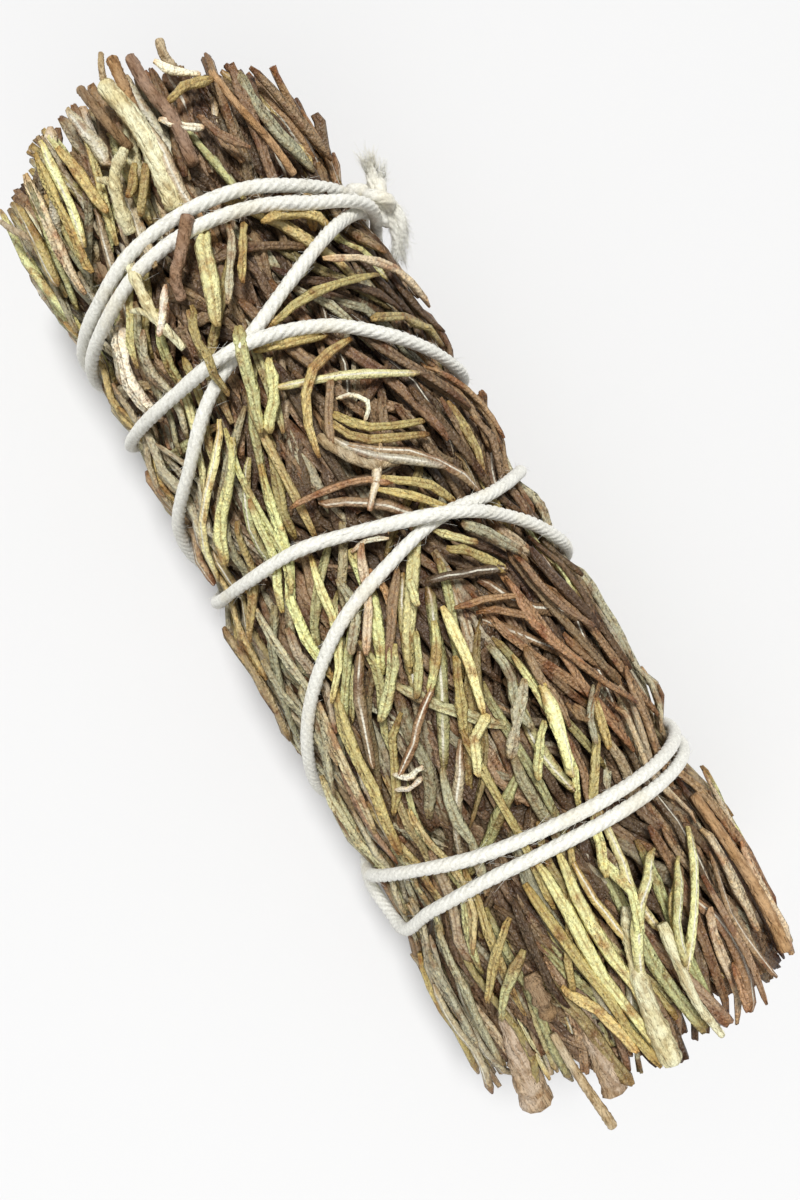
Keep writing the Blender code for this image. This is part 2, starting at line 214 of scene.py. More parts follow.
@dataclass(frozen=True)
class Winding:
    """The string's route: eight turns from the knot and back to it."""

    diameter: float = 1.3 * MM
    drawn_tight: float = 0.92
    depth_below: float = 0.3 * MM
    depth_on_top: float = 0.85 * MM
    spacing: float = 1.1
    hump: float = 8 * MM
    left_out: tuple[float, float] = (6.0, 4.0)
    angles: tuple[int, ...] = (75, 45, 20, 0, -20, -45, -75, -110, -145, -180, -215, -250)
    turns: tuple[tuple[float, ...], ...] = (
        (-34.2, -31.8, -28.6, -25.9, -23.6, -19.2, -16.2, -11.8, -8.6, -7.0, -6.0, -5.3),
        (-4.9, -4.2, -4.4, -3.0, -0.9, 3.6, 10.0, 15.2, 19.6, 21.6, 22.9, 23.9),
        (24.3, 24.1, 23.5, 22.9, 22.3, 21.4, 21.4, 22.1, 23.2, 24.0, 24.7, 25.5),
        (26.0, 25.7, 25.1, 24.6, 24.5, 25.4, 27.2, 21.5, 14.8, 10.8, 7.8, 5.4),
        (2.9, -1.8, -4.7, -6.6, -8.0, -8.2, -8.5, -10.0, -11.8, -13.2, -14.5, -15.5),
        (-16.6, -20.4, -23.9, -25.0, -25.3, -25.4, -26.0, -27.6, -29.2, -30.4, -31.4, -32.2),
        (-32.9, -34.4, -35.8, -36.3, -36.0, -34.6, -33.8, -33.7, -34.0, -34.3, -34.6, -34.9),
        (-35.4, -36.3, -37.6, -37.9, -37.6, -36.2, -35.5, -35.6, -35.8, -36.1, -36.4, -36.8),
    )

    def x_at(self, turned: Array) -> Array:
        """Where the string lies along the bundle.

        Args:
            turned: Degrees turned since its first point.

        Returns:
            The x there, on a smooth curve.
        """
        starts = np.array([self.angles[0] - angle for angle in self.angles], float)
        stations = (360 * np.arange(len(self.turns))[:, None] + starts).ravel()
        return smooth_through(turned, stations, np.array(self.turns).ravel()) * MM

    def lift(self, turned: Array) -> Array:
        """How far the string is lifted by the earlier turns that it passes over.

        Args:
            turned: Degrees turned since its first point.

        Returns:
            The height of its hump there.
        """
        whole = 360 * len(self.turns)
        steps = np.arange(360, whole)
        over = []
        for back in range(360, whole, 360):
            inside = steps - back > 0
            apart = self.x_at(steps) - self.x_at(steps - back)
            later = self.x_at(steps + 1) - self.x_at(steps + 1 - back)
            over += list(steps[inside & (apart * later <= 0)] + 0.5)
        away = np.abs(np.subtract.outer(turned, np.array(over))).min(axis=1) * math.radians(ROLL.thick_radius)
        share = np.minimum(away, self.hump) / self.hump
        return self.spacing * self.diameter * np.cos(math.pi / 2 * share) ** 2

    def route(self, step: float = 3.0) -> Array:
        """The wound string's centre line as rows of x, angle and radius.

        Args:
            step: Degrees between its points.

        Returns:
            One row for each point.
        """
        turned = np.arange(self.left_out[0], 360 * len(self.turns) - self.left_out[1], step)
        angle = np.radians(self.angles[0] - turned)
        pressed = np.sqrt(0.5 + 0.5 * np.cos(angle))
        depth = self.depth_below + (self.depth_on_top - self.depth_below) * pressed
        x = self.x_at(turned)
        return np.stack([x, angle, ROLL.radius(x, angle) - depth + self.lift(turned)], axis=1)


WINDING = Winding()


@dataclass(frozen=True)
class Patch:
    """A part of the outside where the needles lie one way and have dried to the same tones."""

    x: float
    angle: float
    reach_x: float
    reach_angle: float
    heading: float
    spread: float
    tones: tuple[tuple[Tone, float], ...]
    breadth: float = 1.0

    def weight(self, x: float, angle: float) -> float:
        """How strongly the patch counts at a place.

        Args:
            x: Position along the bundle in mm.
            angle: Angle round it in degrees.

        Returns:
            One in its middle, falling to nothing outside it.
        """
        off = (angle - self.angle + 180) % 360 - 180
        return math.exp(-(((x - self.x) / self.reach_x) ** 2) - (off / self.reach_angle) ** 2)


OLIVE_MIX = (
    (Tone.GREY_OLIVE, 5), (Tone.BROWN, 1.6), (Tone.YELLOW_OLIVE, 1), (Tone.PALE_GREEN, 1), (Tone.TAN, 1),
)
GREEN_MIX = ((Tone.PALE_GREEN, 6.2), (Tone.YELLOW_OLIVE, 3), (Tone.BROWN, 0.6), (Tone.GREY_OLIVE, 2.1))
# Painted shade: the deep filling takes these dark tones to stand for the shade under the outer needles.
DEEP_SHADE_MIX = ((Tone.DARK_BROWN, 4), (Tone.BROWN, 2), (Tone.GREY_OLIVE, 0.7))
BROWN_MIX = ((Tone.BROWN, 4), (Tone.DARK_BROWN, 3), (Tone.YELLOW_OLIVE, 0.95), (Tone.RUST, 1))
RUST_MIX = ((Tone.RUST, 4), (Tone.BROWN, 3), (Tone.DARK_BROWN, 1.5), (Tone.TAN, 1))
TAN_MIX = (
    (Tone.TAN, 3), (Tone.CREAM, 3.2), (Tone.YELLOW_OLIVE, 1.6), (Tone.PALE_GREEN, 3), (Tone.BROWN, 0.9),
    (Tone.GREY_OLIVE, 1.5),
)
PATCHES = (
    Patch(10, -72, 40, 22, -1, 7, OLIVE_MIX),
    Patch(-20, -26, 19, 20, -24, 10, GREEN_MIX),
    Patch(-14, 16, 9, 20, 25, 40, BROWN_MIX + ((Tone.PALE_GREEN, 1.8),)),
    Patch(-9, 48, 12, 18, 14, 12, BROWN_MIX),
    Patch(9, 36, 10, 17, 24, 9, RUST_MIX),
    Patch(15, 0, 15, 27, -16, 12, GREEN_MIX),
    Patch(9, -60, 24, 14, -2, 7, OLIVE_MIX),
    Patch(36, 48, 15, 26, 1, 8, RUST_MIX + ((Tone.TAN, 1.9), (Tone.ORANGE_WOOD, 0.8)), 1.1),
    Patch(36, 2, 12, 22, -2, 9, GREEN_MIX),
    Patch(-43, 42, 9, 26, 4, 14, BROWN_MIX, 1.2),
    Patch(-31, 22, 6, 16, 12, 22, BROWN_MIX),
    Patch(-27, 44, 5, 16, 48, 14, GREEN_MIX + BROWN_MIX),
    Patch(-43, -12, 10, 26, -9, 12, TAN_MIX, 1.45),
    Patch(-35, -70, 14, 22, -6, 12, TAN_MIX, 1.3),
    Patch(-25, 105, 16, 30, 8, 14, BROWN_MIX),
    Patch(15, 110, 18, 30, -12, 12, OLIVE_MIX),
    Patch(-10, 165, 20, 34, 10, 14, GREEN_MIX),
    Patch(25, 190, 16, 30, -8, 10, TAN_MIX),
    Patch(-30, 215, 16, 30, 12, 14, OLIVE_MIX),
    Patch(5, 235, 18, 26, -14, 12, RUST_MIX),
)


def flow_at(rng: Chance, x: float, angle: float) -> Patch:
    """The patch that a needle takes its lie and its tone from.

    Args:
        rng: Source of chance.
        x: Position along the bundle.
        angle: Angle round it.

    Returns:
        One of the patches near that place.
    """
    weights = np.array([patch.weight(x / MM, math.degrees(angle)) for patch in PATCHES])
    weights = weights**PATCH_SHARPNESS + 1e-9
    return PATCHES[rng.choice(len(PATCHES), p=weights / weights.sum())]


@dataclass
class Surface:
    """A mesh under construction, made of tubes with a colour and a place on each."""

    name: str
    bm: bmesh.types.BMesh = field(default_factory=bmesh.new)
    spots: list[Array] = field(default_factory=list)
    tints: list[Array] = field(default_factory=list)
    lies: list[Array] = field(default_factory=list)

    def add(self, pattern: bpy.types.Mesh, spots: Array, tint: Array, lie: Array) -> None:
        """Adds a copy of a pattern with its points in new places.

        Args:
            pattern: The mesh to copy.
            spots: Where its points go, in the model's frame.
            tint: One colour, or one for each point.
            lie: Place across and along it, and its side, for each point.
        """
        self.bm.from_mesh(pattern)
        self.spots.append(spots)
        self.tints.append(np.broadcast_to(tint, (len(spots), 3)))
        self.lies.append(lie)

    def finish(self, material: bpy.types.Material) -> bpy.types.Object:
        """Makes the object.

        Args:
            material: What it is made of.

        Returns:
            The object, in the scene.
        """
        mesh = bpy.data.meshes.new(self.name)
        self.bm.to_mesh(mesh)
        self.bm.free()
        mesh.vertices.foreach_set("co", np.concatenate(self.spots).astype(np.float32).ravel())
        colours = np.concatenate(self.tints)
        colours = np.c_[colours, np.ones(len(colours))]
        for name, kind, part, values in (
            ("tint", "FLOAT_COLOR", "color", colours),
            ("lie", "FLOAT_VECTOR", "vector", np.concatenate(self.lies)),
        ):
            attribute = mesh.attributes.new(name, kind, "POINT")
            attribute.data.foreach_set(part, values.astype(np.float32).ravel())
        mesh.shade_smooth()
        mesh.update()
        mesh.materials.append(material)
        piece = put(self.name, mesh)
        LOG.info("%s: %d faces", self.name, len(mesh.polygons))
        return piece


def tube_pattern(sides: int, rings: int) -> bpy.types.Mesh:
    """A closed tube whose points are moved into place later.

    Args:
        sides: Points round it.
        rings: Rings of points along it.

    Returns:
        The mesh, with its points in order of rings, facing outwards when they run round +Z.
    """
    bm = bmesh.new()
    bmesh.ops.create_circle(bm, cap_ends=False, radius=1, segments=sides)
    start = edges = list(bm.edges)
    for _ in range(rings - 1):
        made = bmesh.ops.extrude_edge_only(bm, edges=edges)["geom"]
        edges = [item for item in made if isinstance(item, bmesh.types.BMEdge)]
        moved = [item for item in made if isinstance(item, bmesh.types.BMVert)]
        bmesh.ops.translate(bm, vec=(0, 0, 1), verts=moved)
    bmesh.ops.holes_fill(bm, edges=start + edges, sides=0)
    bmesh.ops.recalc_face_normals(bm, faces=bm.faces)
    turns = {vert: math.atan2(vert.co.y, vert.co.x) % math.tau for vert in bm.verts}
    order = sorted(bm.verts, key=lambda vert: (round(vert.co.z), round(turns[vert], 4)))
    for index, vert in enumerate(order):
        vert.index = index
    bm.verts.sort()
    mesh = bpy.data.meshes.new("tube_pattern")
    bm.to_mesh(mesh)
    bm.free()
    return mesh


def frames(path: Array, outward: Array) -> tuple[Array, Array, Array]:
    """Directions along a path: forward, across and up.

    Args:
        path: Its points.
        outward: Rough up direction at each.

    Returns:
        Three arrays of unit vectors.
    """
    forward = np.gradient(path, axis=0)
    forward /= np.linalg.norm(forward, axis=1, keepdims=True)
    across = np.cross(outward, forward)
    across /= np.linalg.norm(across, axis=1, keepdims=True) + 1e-12
    return forward, across, np.cross(forward, across)


def outward_at(angle: Array) -> Array:
    """The direction away from the bundle's axis."""
    return np.stack([np.zeros_like(angle), np.sin(angle), np.cos(angle)], axis=-1)


def rings_along(path: Array, outward: Array, sides: int) -> tuple[Array, Array]:
    """Circles of radius one round the points of a path.

    Args:
        path: Its points.
        outward: Rough up direction at each.
        sides: Points in each circle.

    Returns:
        How far each point of a circle is turned, and the points as seen from their centres.
    """
    _, across, up = frames(path, outward)
    turn = np.arange(sides) / sides * math.tau
    return turn, across[:, None] * np.cos(turn)[:, None] + up[:, None] * np.sin(turn)[:, None]


@dataclass
class NeedlePattern:
    """One rosemary needle: two rolled margins with a groove between them above, and a midrib below."""

    profile: tuple[tuple[float, float], ...] = (
        (1, 0), (0.58, 0.8), (0, 0.3), (-0.58, 0.8), (-1, 0), (-0.52, -0.66), (0, -0.5), (0.52, -0.66),
    )
    stations: tuple[float, ...] = (0, 0.08, 0.24, 0.42, 0.6, 0.78, 0.94, 1)
    fullness: tuple[float, ...] = (0.48, 0.8, 0.96, 1, 1, 0.95, 0.78, 0.4)
    rough: float = 0.07
    rough_rings: float = 1.6
    wander: float = 0.055
    blunt: float = 0.88
    profile_height: float = 1.56
    rng: Chance = field(default_factory=lambda: np.random.default_rng(SEED + 9))
    mesh: bpy.types.Mesh = field(init=False)

    def __post_init__(self) -> None:
        """Makes the tube that every needle copies."""
        self.mesh = tube_pattern(len(self.profile), len(self.stations))

    def stamp(
        self, surface: Surface, path: Array, outward: Array, width: float, thickness: float,
        roll: float, tint: Array, flipped: bool, cut: tuple[float, float] = (0.0, 0.0), twist: float = 0.0,
    ) -> None:
        """Adds a needle along a path.

        Args:
            surface: What it joins.
            path: Centre line with one point for each station.
            outward: Rough up direction at each.
            width: Across the needle.
            thickness: Through it.
            roll: Turn about its own length.
            tint: Its colour.
            flipped: Whether its underside shows.
            cut: How blunt its two ends are, from tapered to cut across.
            twist: How far it turns about its own length from end to end.
        """
        _, across, up = frames(path, outward)
        along, shape = np.array(self.stations), np.array(self.profile)
        rings = len(along)
        turn = roll + twist * (along[:, None] - 0.5)
        side = np.cos(turn) * across + np.sin(turn) * up
        rise = np.cos(turn) * up - np.sin(turn) * across
        if flipped:
            side, rise = -side, -rise
        full = np.array(self.fullness)
        full[:2] = np.maximum(full[:2], self.blunt * cut[0])
        full[-2:] = np.maximum(full[-2:], self.blunt * cut[1])
        full = (full * self.rng.normal(1, self.rough_rings * self.rough, rings))[:, None, None]
        full = full * self.rng.normal(1, self.rough, (rings, len(shape), 1))
        path = path + self.rng.normal(0, self.wander * width, (rings, 1)) * across
        spots = path[:, None] + full * (
            side[:, None] * shape[:, 0, None] * width / 2
            + rise[:, None] * shape[:, 1, None] * thickness / self.profile_height
        )
        aside, over = np.tile(shape[:, 0], rings), np.tile(np.sign(shape[:, 1]), rings)
        lie = np.stack([aside, np.repeat(along, len(shape)), over], axis=1)
        surface.add(self.mesh, spots.reshape(-1, 3), tint, lie)


@dataclass(frozen=True)
class Lie:
    """How a needle is laid on the bundle, before it comes to rest."""

    x: float
    angle: float
    heading: float
    length: float
    width: float
    thickness: float
    bend: float
    sway: float
    ragged: float
    tuck: float
    free: float


@dataclass(frozen=True)
class Rest:
    """Where a needle has come to rest, and how hard it is pressed into those below it."""

    x: Array
    angle: Array
    radius: Array
    forced: float
    cells: tuple[Array, Array]
    top: Array


@dataclass
class Thatch:
    """The outside of the bundle as a height field, on which each needle comes to rest in turn."""

    cell: float = 0.35 * MM
    low: float = -56 * MM
    high: float = 52 * MM
    depth: float = 4.2 * MM
    samples: int = 41
    rest_height: float = 0.42
    tuck_from: float = 0.45
    free_from: float = 0.2
    overshoot: float = 0.5 * MM
    ease: float = 3.4 * MM
    under_string: float = 0.45 * MM
    string_gap: float = 0.03 * MM
    string_rows: int = 12
    ripple: float = 0.25 * MM
    bulge: float = 0.3 * MM
    rng: Chance = field(default_factory=lambda: np.random.default_rng(SEED))
    columns: int = field(init=False)
    rows: int = field(init=False)
    x: Array = field(init=False)
    angle: Array = field(init=False)
    heights: Array = field(init=False)
    limits: Array = field(init=False)

    def __post_init__(self) -> None:
        """Sets the bed that the needles lie on and the surface that they stay under."""
        self.columns = int((self.high - self.low) / self.cell)
        self.rows = int(math.tau * ROLL.thick_radius / self.cell)
        x = self.low + (np.arange(self.columns) + 0.5) * self.cell
        angle = (np.arange(self.rows) + 0.5) / self.rows * math.tau
        self.x, self.angle = np.meshgrid(x, angle, indexing="ij")
        outer = ROLL.radius(self.x, self.angle)
        rippled = np.sin(self.x / (7 * MM) + 3 * self.angle) * (np.cos(self.angle) > FLAT_BELOW)
        self.limits = outer + self.ripple * rippled
        self.heights = outer - self.depth
        self.press_under_string()

    def press_under_string(self) -> None:
        """Lowers the limit to the underside of the wound string."""
        for x, angle, radius in WINDING.route(1.0):
            bottom = radius - WINDING.diameter / 2 - self.string_gap
            around = np.array([x - self.ease, x + self.ease])
            i0, i1 = np.clip(((around - self.low) / self.cell).astype(int), 0, self.columns)
            near = np.arange(-self.string_rows, self.string_rows + 1)
            j = (int(angle / math.tau * self.rows) + near) % self.rows
            off_x = self.x[i0:i1][:, j] - x
            off_a = ((self.angle[i0:i1][:, j] - angle + math.pi) % math.tau - math.pi) * radius
            away = np.clip((np.hypot(off_x, off_a) - self.under_string) / self.ease, 0, 1)
            cap = bottom + (ROLL.radius(x, angle) + self.bulge - bottom) * (1 - (1 - away) ** 2)
            part = self.limits[i0:i1]
            part[:, j] = np.minimum(part[:, j], cap)

    def cells(self, x: Array, angle: Array) -> tuple[Array, Array]:
        """Indices of the cells at some places.

        Args:
            x: Position along the bundle.
            angle: Angle round it.

        Returns:
            Column and row indices.
        """
        i = np.clip(((x - self.low) / self.cell).astype(int), 0, self.columns - 1)
        return i, np.floor(angle / math.tau * self.rows).astype(int) % self.rows

    def lowest_place(self, tries: int) -> tuple[float, float]:
        """The place that most needs a needle among a few taken at random.

        Args:
            tries: How many are compared.

        Returns:
            Its x and angle.
        """
        angle = self.rng.uniform(0, math.tau, tries)
        x = self.rng.uniform(ROLL.end(True, angle) + 2 * MM, ROLL.end(False, angle) - 2 * MM)
        i, j = self.cells(x, angle)
        best = int(np.argmax(self.limits[i, j] - self.heights[i, j]))
        return float(x[best]), float(angle[best])

    def lay(self, needle: Lie, room: float) -> Rest:
        """Finds where a needle would come to rest.

        Args:
            needle: How it lies.
            room: How much is kept free above it for later ones.

        Returns:
            Its resting place.
        """
        t = np.linspace(-1, 1, self.samples)
        along = t * needle.length / 2
        off = needle.bend * (1 - t**2) + needle.sway * np.sin(math.pi * t)
        sine, cosine = math.sin(needle.heading), math.cos(needle.heading)
        x = needle.x + along * cosine - off * sine
        angle = needle.angle + (along * sine + off * cosine) / ROLL.thick_radius
        x += np.maximum(ROLL.end(True, angle) - needle.ragged - x, 0).max()
        x -= np.maximum(x - ROLL.end(False, angle) - needle.ragged, 0).max()
        side = np.linspace(-0.5, 0.5, 5)[:, None] * needle.width
        i, j = self.cells(x - side * sine, angle + side * cosine / ROLL.thick_radius)
        rest = softened(spread(self.heights[i, j].max(axis=0), 5, np.max))
        rest += self.rest_height * needle.thickness
        roof = softened(spread(self.limits[i, j].min(axis=0), 3, np.min)) - 0.5 * needle.thickness - room
        forced = float(np.maximum(rest - roof, 0).mean())
        radius = np.minimum(rest, roof)
        radius = radius - needle.tuck * np.clip((-t - self.tuck_from) / (1 - self.tuck_from), 0, 1) ** 2
        lifted = radius + needle.free * np.clip((t - self.free_from) / (1 - self.free_from), 0, 1) ** 2
        radius = np.minimum(lifted, roof + self.overshoot + room)
        top = np.minimum(radius, roof)[None] + (0.5 - 1.2 * (side / needle.width) ** 2) * needle.thickness
        return Rest(x, angle, radius, forced, (i, j), top)

    def press(self, rest: Rest) -> None:
        """Raises the heights to the top of a needle that has come to rest."""
        np.maximum.at(self.heights, rest.cells, rest.top)

    def over(self, x: Array, angle: Array, width: float) -> Array:
        """The smooth line that rests on what lies below.

        Args:
            x: The line along the bundle.
            angle: The same round it.
            width: How wide a strip it rests on.

        Returns:
            Its radius from the axis.
        """
        side = np.linspace(-0.4, 0.4, 3)[:, None] * width
        i, j = self.cells(x + side, angle + side / ROLL.thick_radius)
        return softened(spread(self.heights[i, j].max(axis=0), 3, np.max))

    def roof(self, x: Array, angle: Array) -> Array:
        """The limit's radius from the axis along a line, smoothed."""
        return softened(spread(self.limits[self.cells(x, angle)], 2, np.min), np.ones(5) / 5)

    def press_run(self, x: Array, angle: Array, radius: Array, half: float) -> None:
        """Raises the heights to the top of a twig or a placed needle.

        Args:
            x: Its centre line along the bundle.
            angle: The same round it.
            radius: The same from the axis.
            half: Half its width.
        """
        for off_x in np.linspace(-half, half, 5):
            for off_a in np.linspace(-half, half, 5):
                i, j = self.cells(x + off_x, angle + off_a / ROLL.thick_radius)
                rise = math.sqrt(max(0.0, half**2 - 0.5 * (off_x**2 + off_a**2)))
                np.maximum.at(self.heights, (i, j), radius + rise)


@dataclass(frozen=True)
class LeafFinish:
    """Dried rosemary leaf: pebbled, brown in blotches, with painted shade in its groove above, in its
    wrinkles and along its edges, and a pale midrib below.
    """

    roughness: float = 0.38
    pebbles: float = 3600
    blotches: float = 420
    grains: float = 2600
    flecks: float = 1900
    breaks: float = 500
    wrinkles: tuple[float, float, float] = (0.9, 17, 1)
    wrinkle_places: float = 420
    midrib: Colour = (0.82, 0.78, 0.64)

    def make(self) -> bpy.types.Material:
        """The leaf's material.

        Returns:
            The material, which reads the colour and the place on the needle from its points.
        """
        kit = Nodes("rosemary_leaf")
        place = kit.place()
        tint = kit.attribute("tint", "Color")
        lie = kit.attribute("lie", "Vector")
        across, along, side = kit.split(lie)
        blotch = kit.ramp(kit.noise(place, self.blotches, 3, 0.6), 0.5, 0.68)
        leaf = kit.worn(tint, blotch, (0.62, 0.45, 0.38))
        grain = kit.noise(place, self.grains, 3, 0.7)
        leaf = kit.worn(leaf, kit.ramp(grain, 0.46, 0.7), (1.42, 1.36, 1.2))
        fleck = kit.ramp(kit.noise(place, self.flecks, 3, 0.6), 0.55, 0.68)
        leaf = kit.worn(leaf, fleck, (0.55, 0.45, 0.4), 0.35)
        vectors = "ShaderNodeVectorMath"
        drawn = kit.math("MULTIPLY", lie, self.wrinkles, kind=vectors)
        apart = kit.math("MULTIPLY_ADD", place, (self.wrinkle_places,) * 3, drawn, kind=vectors)
        wrinkle = kit.noise(apart, 1.0, 3, 0.6)
        # Painted shade: darker in the hollows of the wrinkle relief.
        leaf = kit.worn(leaf, kit.ramp(wrinkle, 0.5, 0.34), (0.78, 0.7, 0.62))
        broken = kit.ramp(kit.noise(place, self.breaks, 2, 0.5), 0.25, 0.55)
        middle = kit.math("ABSOLUTE", across)
        above = kit.ramp(side, -0.2, 0.3)
        # Painted shade: a dark line down the groove between the rolled margins above.
        groove = kit.math("MULTIPLY", kit.math("MULTIPLY", kit.ramp(middle, 0.3, 0.0), above), broken)
        leaf = kit.worn(leaf, groove, (0.5, 0.4, 0.33), 0.8)
        # Painted shade: darker towards both edges, where the needle's sides turn away.
        leaf = kit.worn(leaf, kit.ramp(middle, 0.72, 1.0), (0.6, 0.5, 0.42), 0.35)
        below = kit.math("SUBTRACT", 1.0, above)
        felt = kit.math("MULTIPLY", kit.ramp(middle, 0.6, 0.35), below)
        leaf = kit.mix(kit.math("MULTIPLY", felt, 0.3), leaf, kit.tinted(tint, (1.3, 1.3, 1.5)))
        rib = kit.math("MULTIPLY", kit.math("MULTIPLY", kit.ramp(middle, 0.24, 0.12), below), broken)
        leaf = kit.mix(kit.math("MULTIPLY", rib, 0.95), leaf, self.midrib)
        leaf = kit.worn(leaf, kit.ramp(along, 0.84, 1.0), (0.75, 0.58, 0.46))
        leaf = kit.worn(leaf, kit.ramp(along, 0.16, 0.0), (0.8, 0.66, 0.5))
        coarse = kit.bump(wrinkle, 0.7, 0.35 * MM)
        kit.bump(kit.voronoi(place, self.pebbles), 0.9, 0.14 * MM, kit.bump(grain, 0.7, 0.2 * MM, coarse))
        return kit.surface(leaf, self.roughness, 0.4)


@dataclass(frozen=True)
class WoodFinish:
    """Rosemary stem: fibrous bark that runs along it, with pale scars and dark flecks."""

    roughness: float = 0.7
    stretch: float = 0.22
    fibres: float = 2600
    flecks: float = 1300

    def make(self) -> bpy.types.Material:
        """The stem's material.

        Returns:
            The material, which reads the colour from the stem's points.
        """
        kit = Nodes("rosemary_stem")
        place = kit.place()
        tint = kit.attribute("tint", "Color")
        drawn = kit.add("ShaderNodeMapping")
        drawn.inputs["Scale"].default_value = (self.stretch, 1, 1)
        kit.link(place, drawn.inputs["Vector"])
        fibre = kit.noise(drawn.outputs["Vector"], self.fibres, 3, 0.6)
        wood = kit.worn(tint, kit.ramp(kit.noise(place, 330, 2, 0.5), 0.42, 0.66), (0.82, 0.74, 0.6))
        wood = kit.worn(wood, kit.ramp(fibre, 0.4, 0.66), (0.64, 0.56, 0.48))
        fleck = kit.ramp(kit.noise(place, self.flecks, 2, 0.5), 0.56, 0.66)
        wood = kit.mix(kit.math("MULTIPLY", fleck, 0.5), wood, kit.tinted(tint, (1.25, 1.2, 1.1)))
        kit.bump(fibre, 1.0, 0.5 * MM, kit.bump(kit.noise(place, 3200, 3, 0.6), 0.9, 0.25 * MM))
        return kit.surface(wood, self.roughness, 0.3)


@dataclass(frozen=True)
class CottonFinish:
    """Off-white cotton: fine soft fibres along each ply, with painted shade in the hollows of their relief,
    and a faint bloom.
    """

    white: Colour = (0.95, 0.94, 0.86)
    # Painted shade: the colour of the hollows in the fibre relief.
    shade: Colour = (0.76, 0.745, 0.67)
    roughness: float = 0.85
    bloom: float = 0.3

    def make(self) -> bpy.types.Material:
        """The string's material.

        Returns:
            The material.
        """
        kit = Nodes("cotton_string")
        place = kit.place()
        fibre = kit.noise(place, 3800, 3, 0.65)
        # Painted shade: the fibres' hollows, where the relief is low, take the darker colour.
        soft = kit.mix(kit.ramp(fibre, 0.35, 0.7), self.shade, self.white)
        soiled = kit.worn(soft, kit.ramp(kit.noise(place, 160, 2, 0.5), 0.55, 0.75), (0.93, 0.89, 0.8))
        kit.shader.inputs["Sheen Weight"].default_value = self.bloom
        kit.shader.inputs["Sheen Roughness"].default_value = 0.5
        kit.bump(fibre, 0.7, 0.15 * MM)
        return kit.surface(soiled, self.roughness, 0.2)


@dataclass(frozen=True)
class FloorFinish:
    """Plain white studio paper."""

    white: Colour = (0.72, 0.72, 0.72)
    roughness: float = 0.9

    def make(self) -> bpy.types.Material:
        """The floor's material.

        Returns:
            The material.
        """
        kit = Nodes("studio_paper")
        shade = kit.tinted(self.white, (0.99, 0.99, 0.99))
        tone = kit.mix(kit.noise(kit.place(), 30, 2, 0.5), self.white, shade)
        return kit.surface(tone, self.roughness, 0.1)


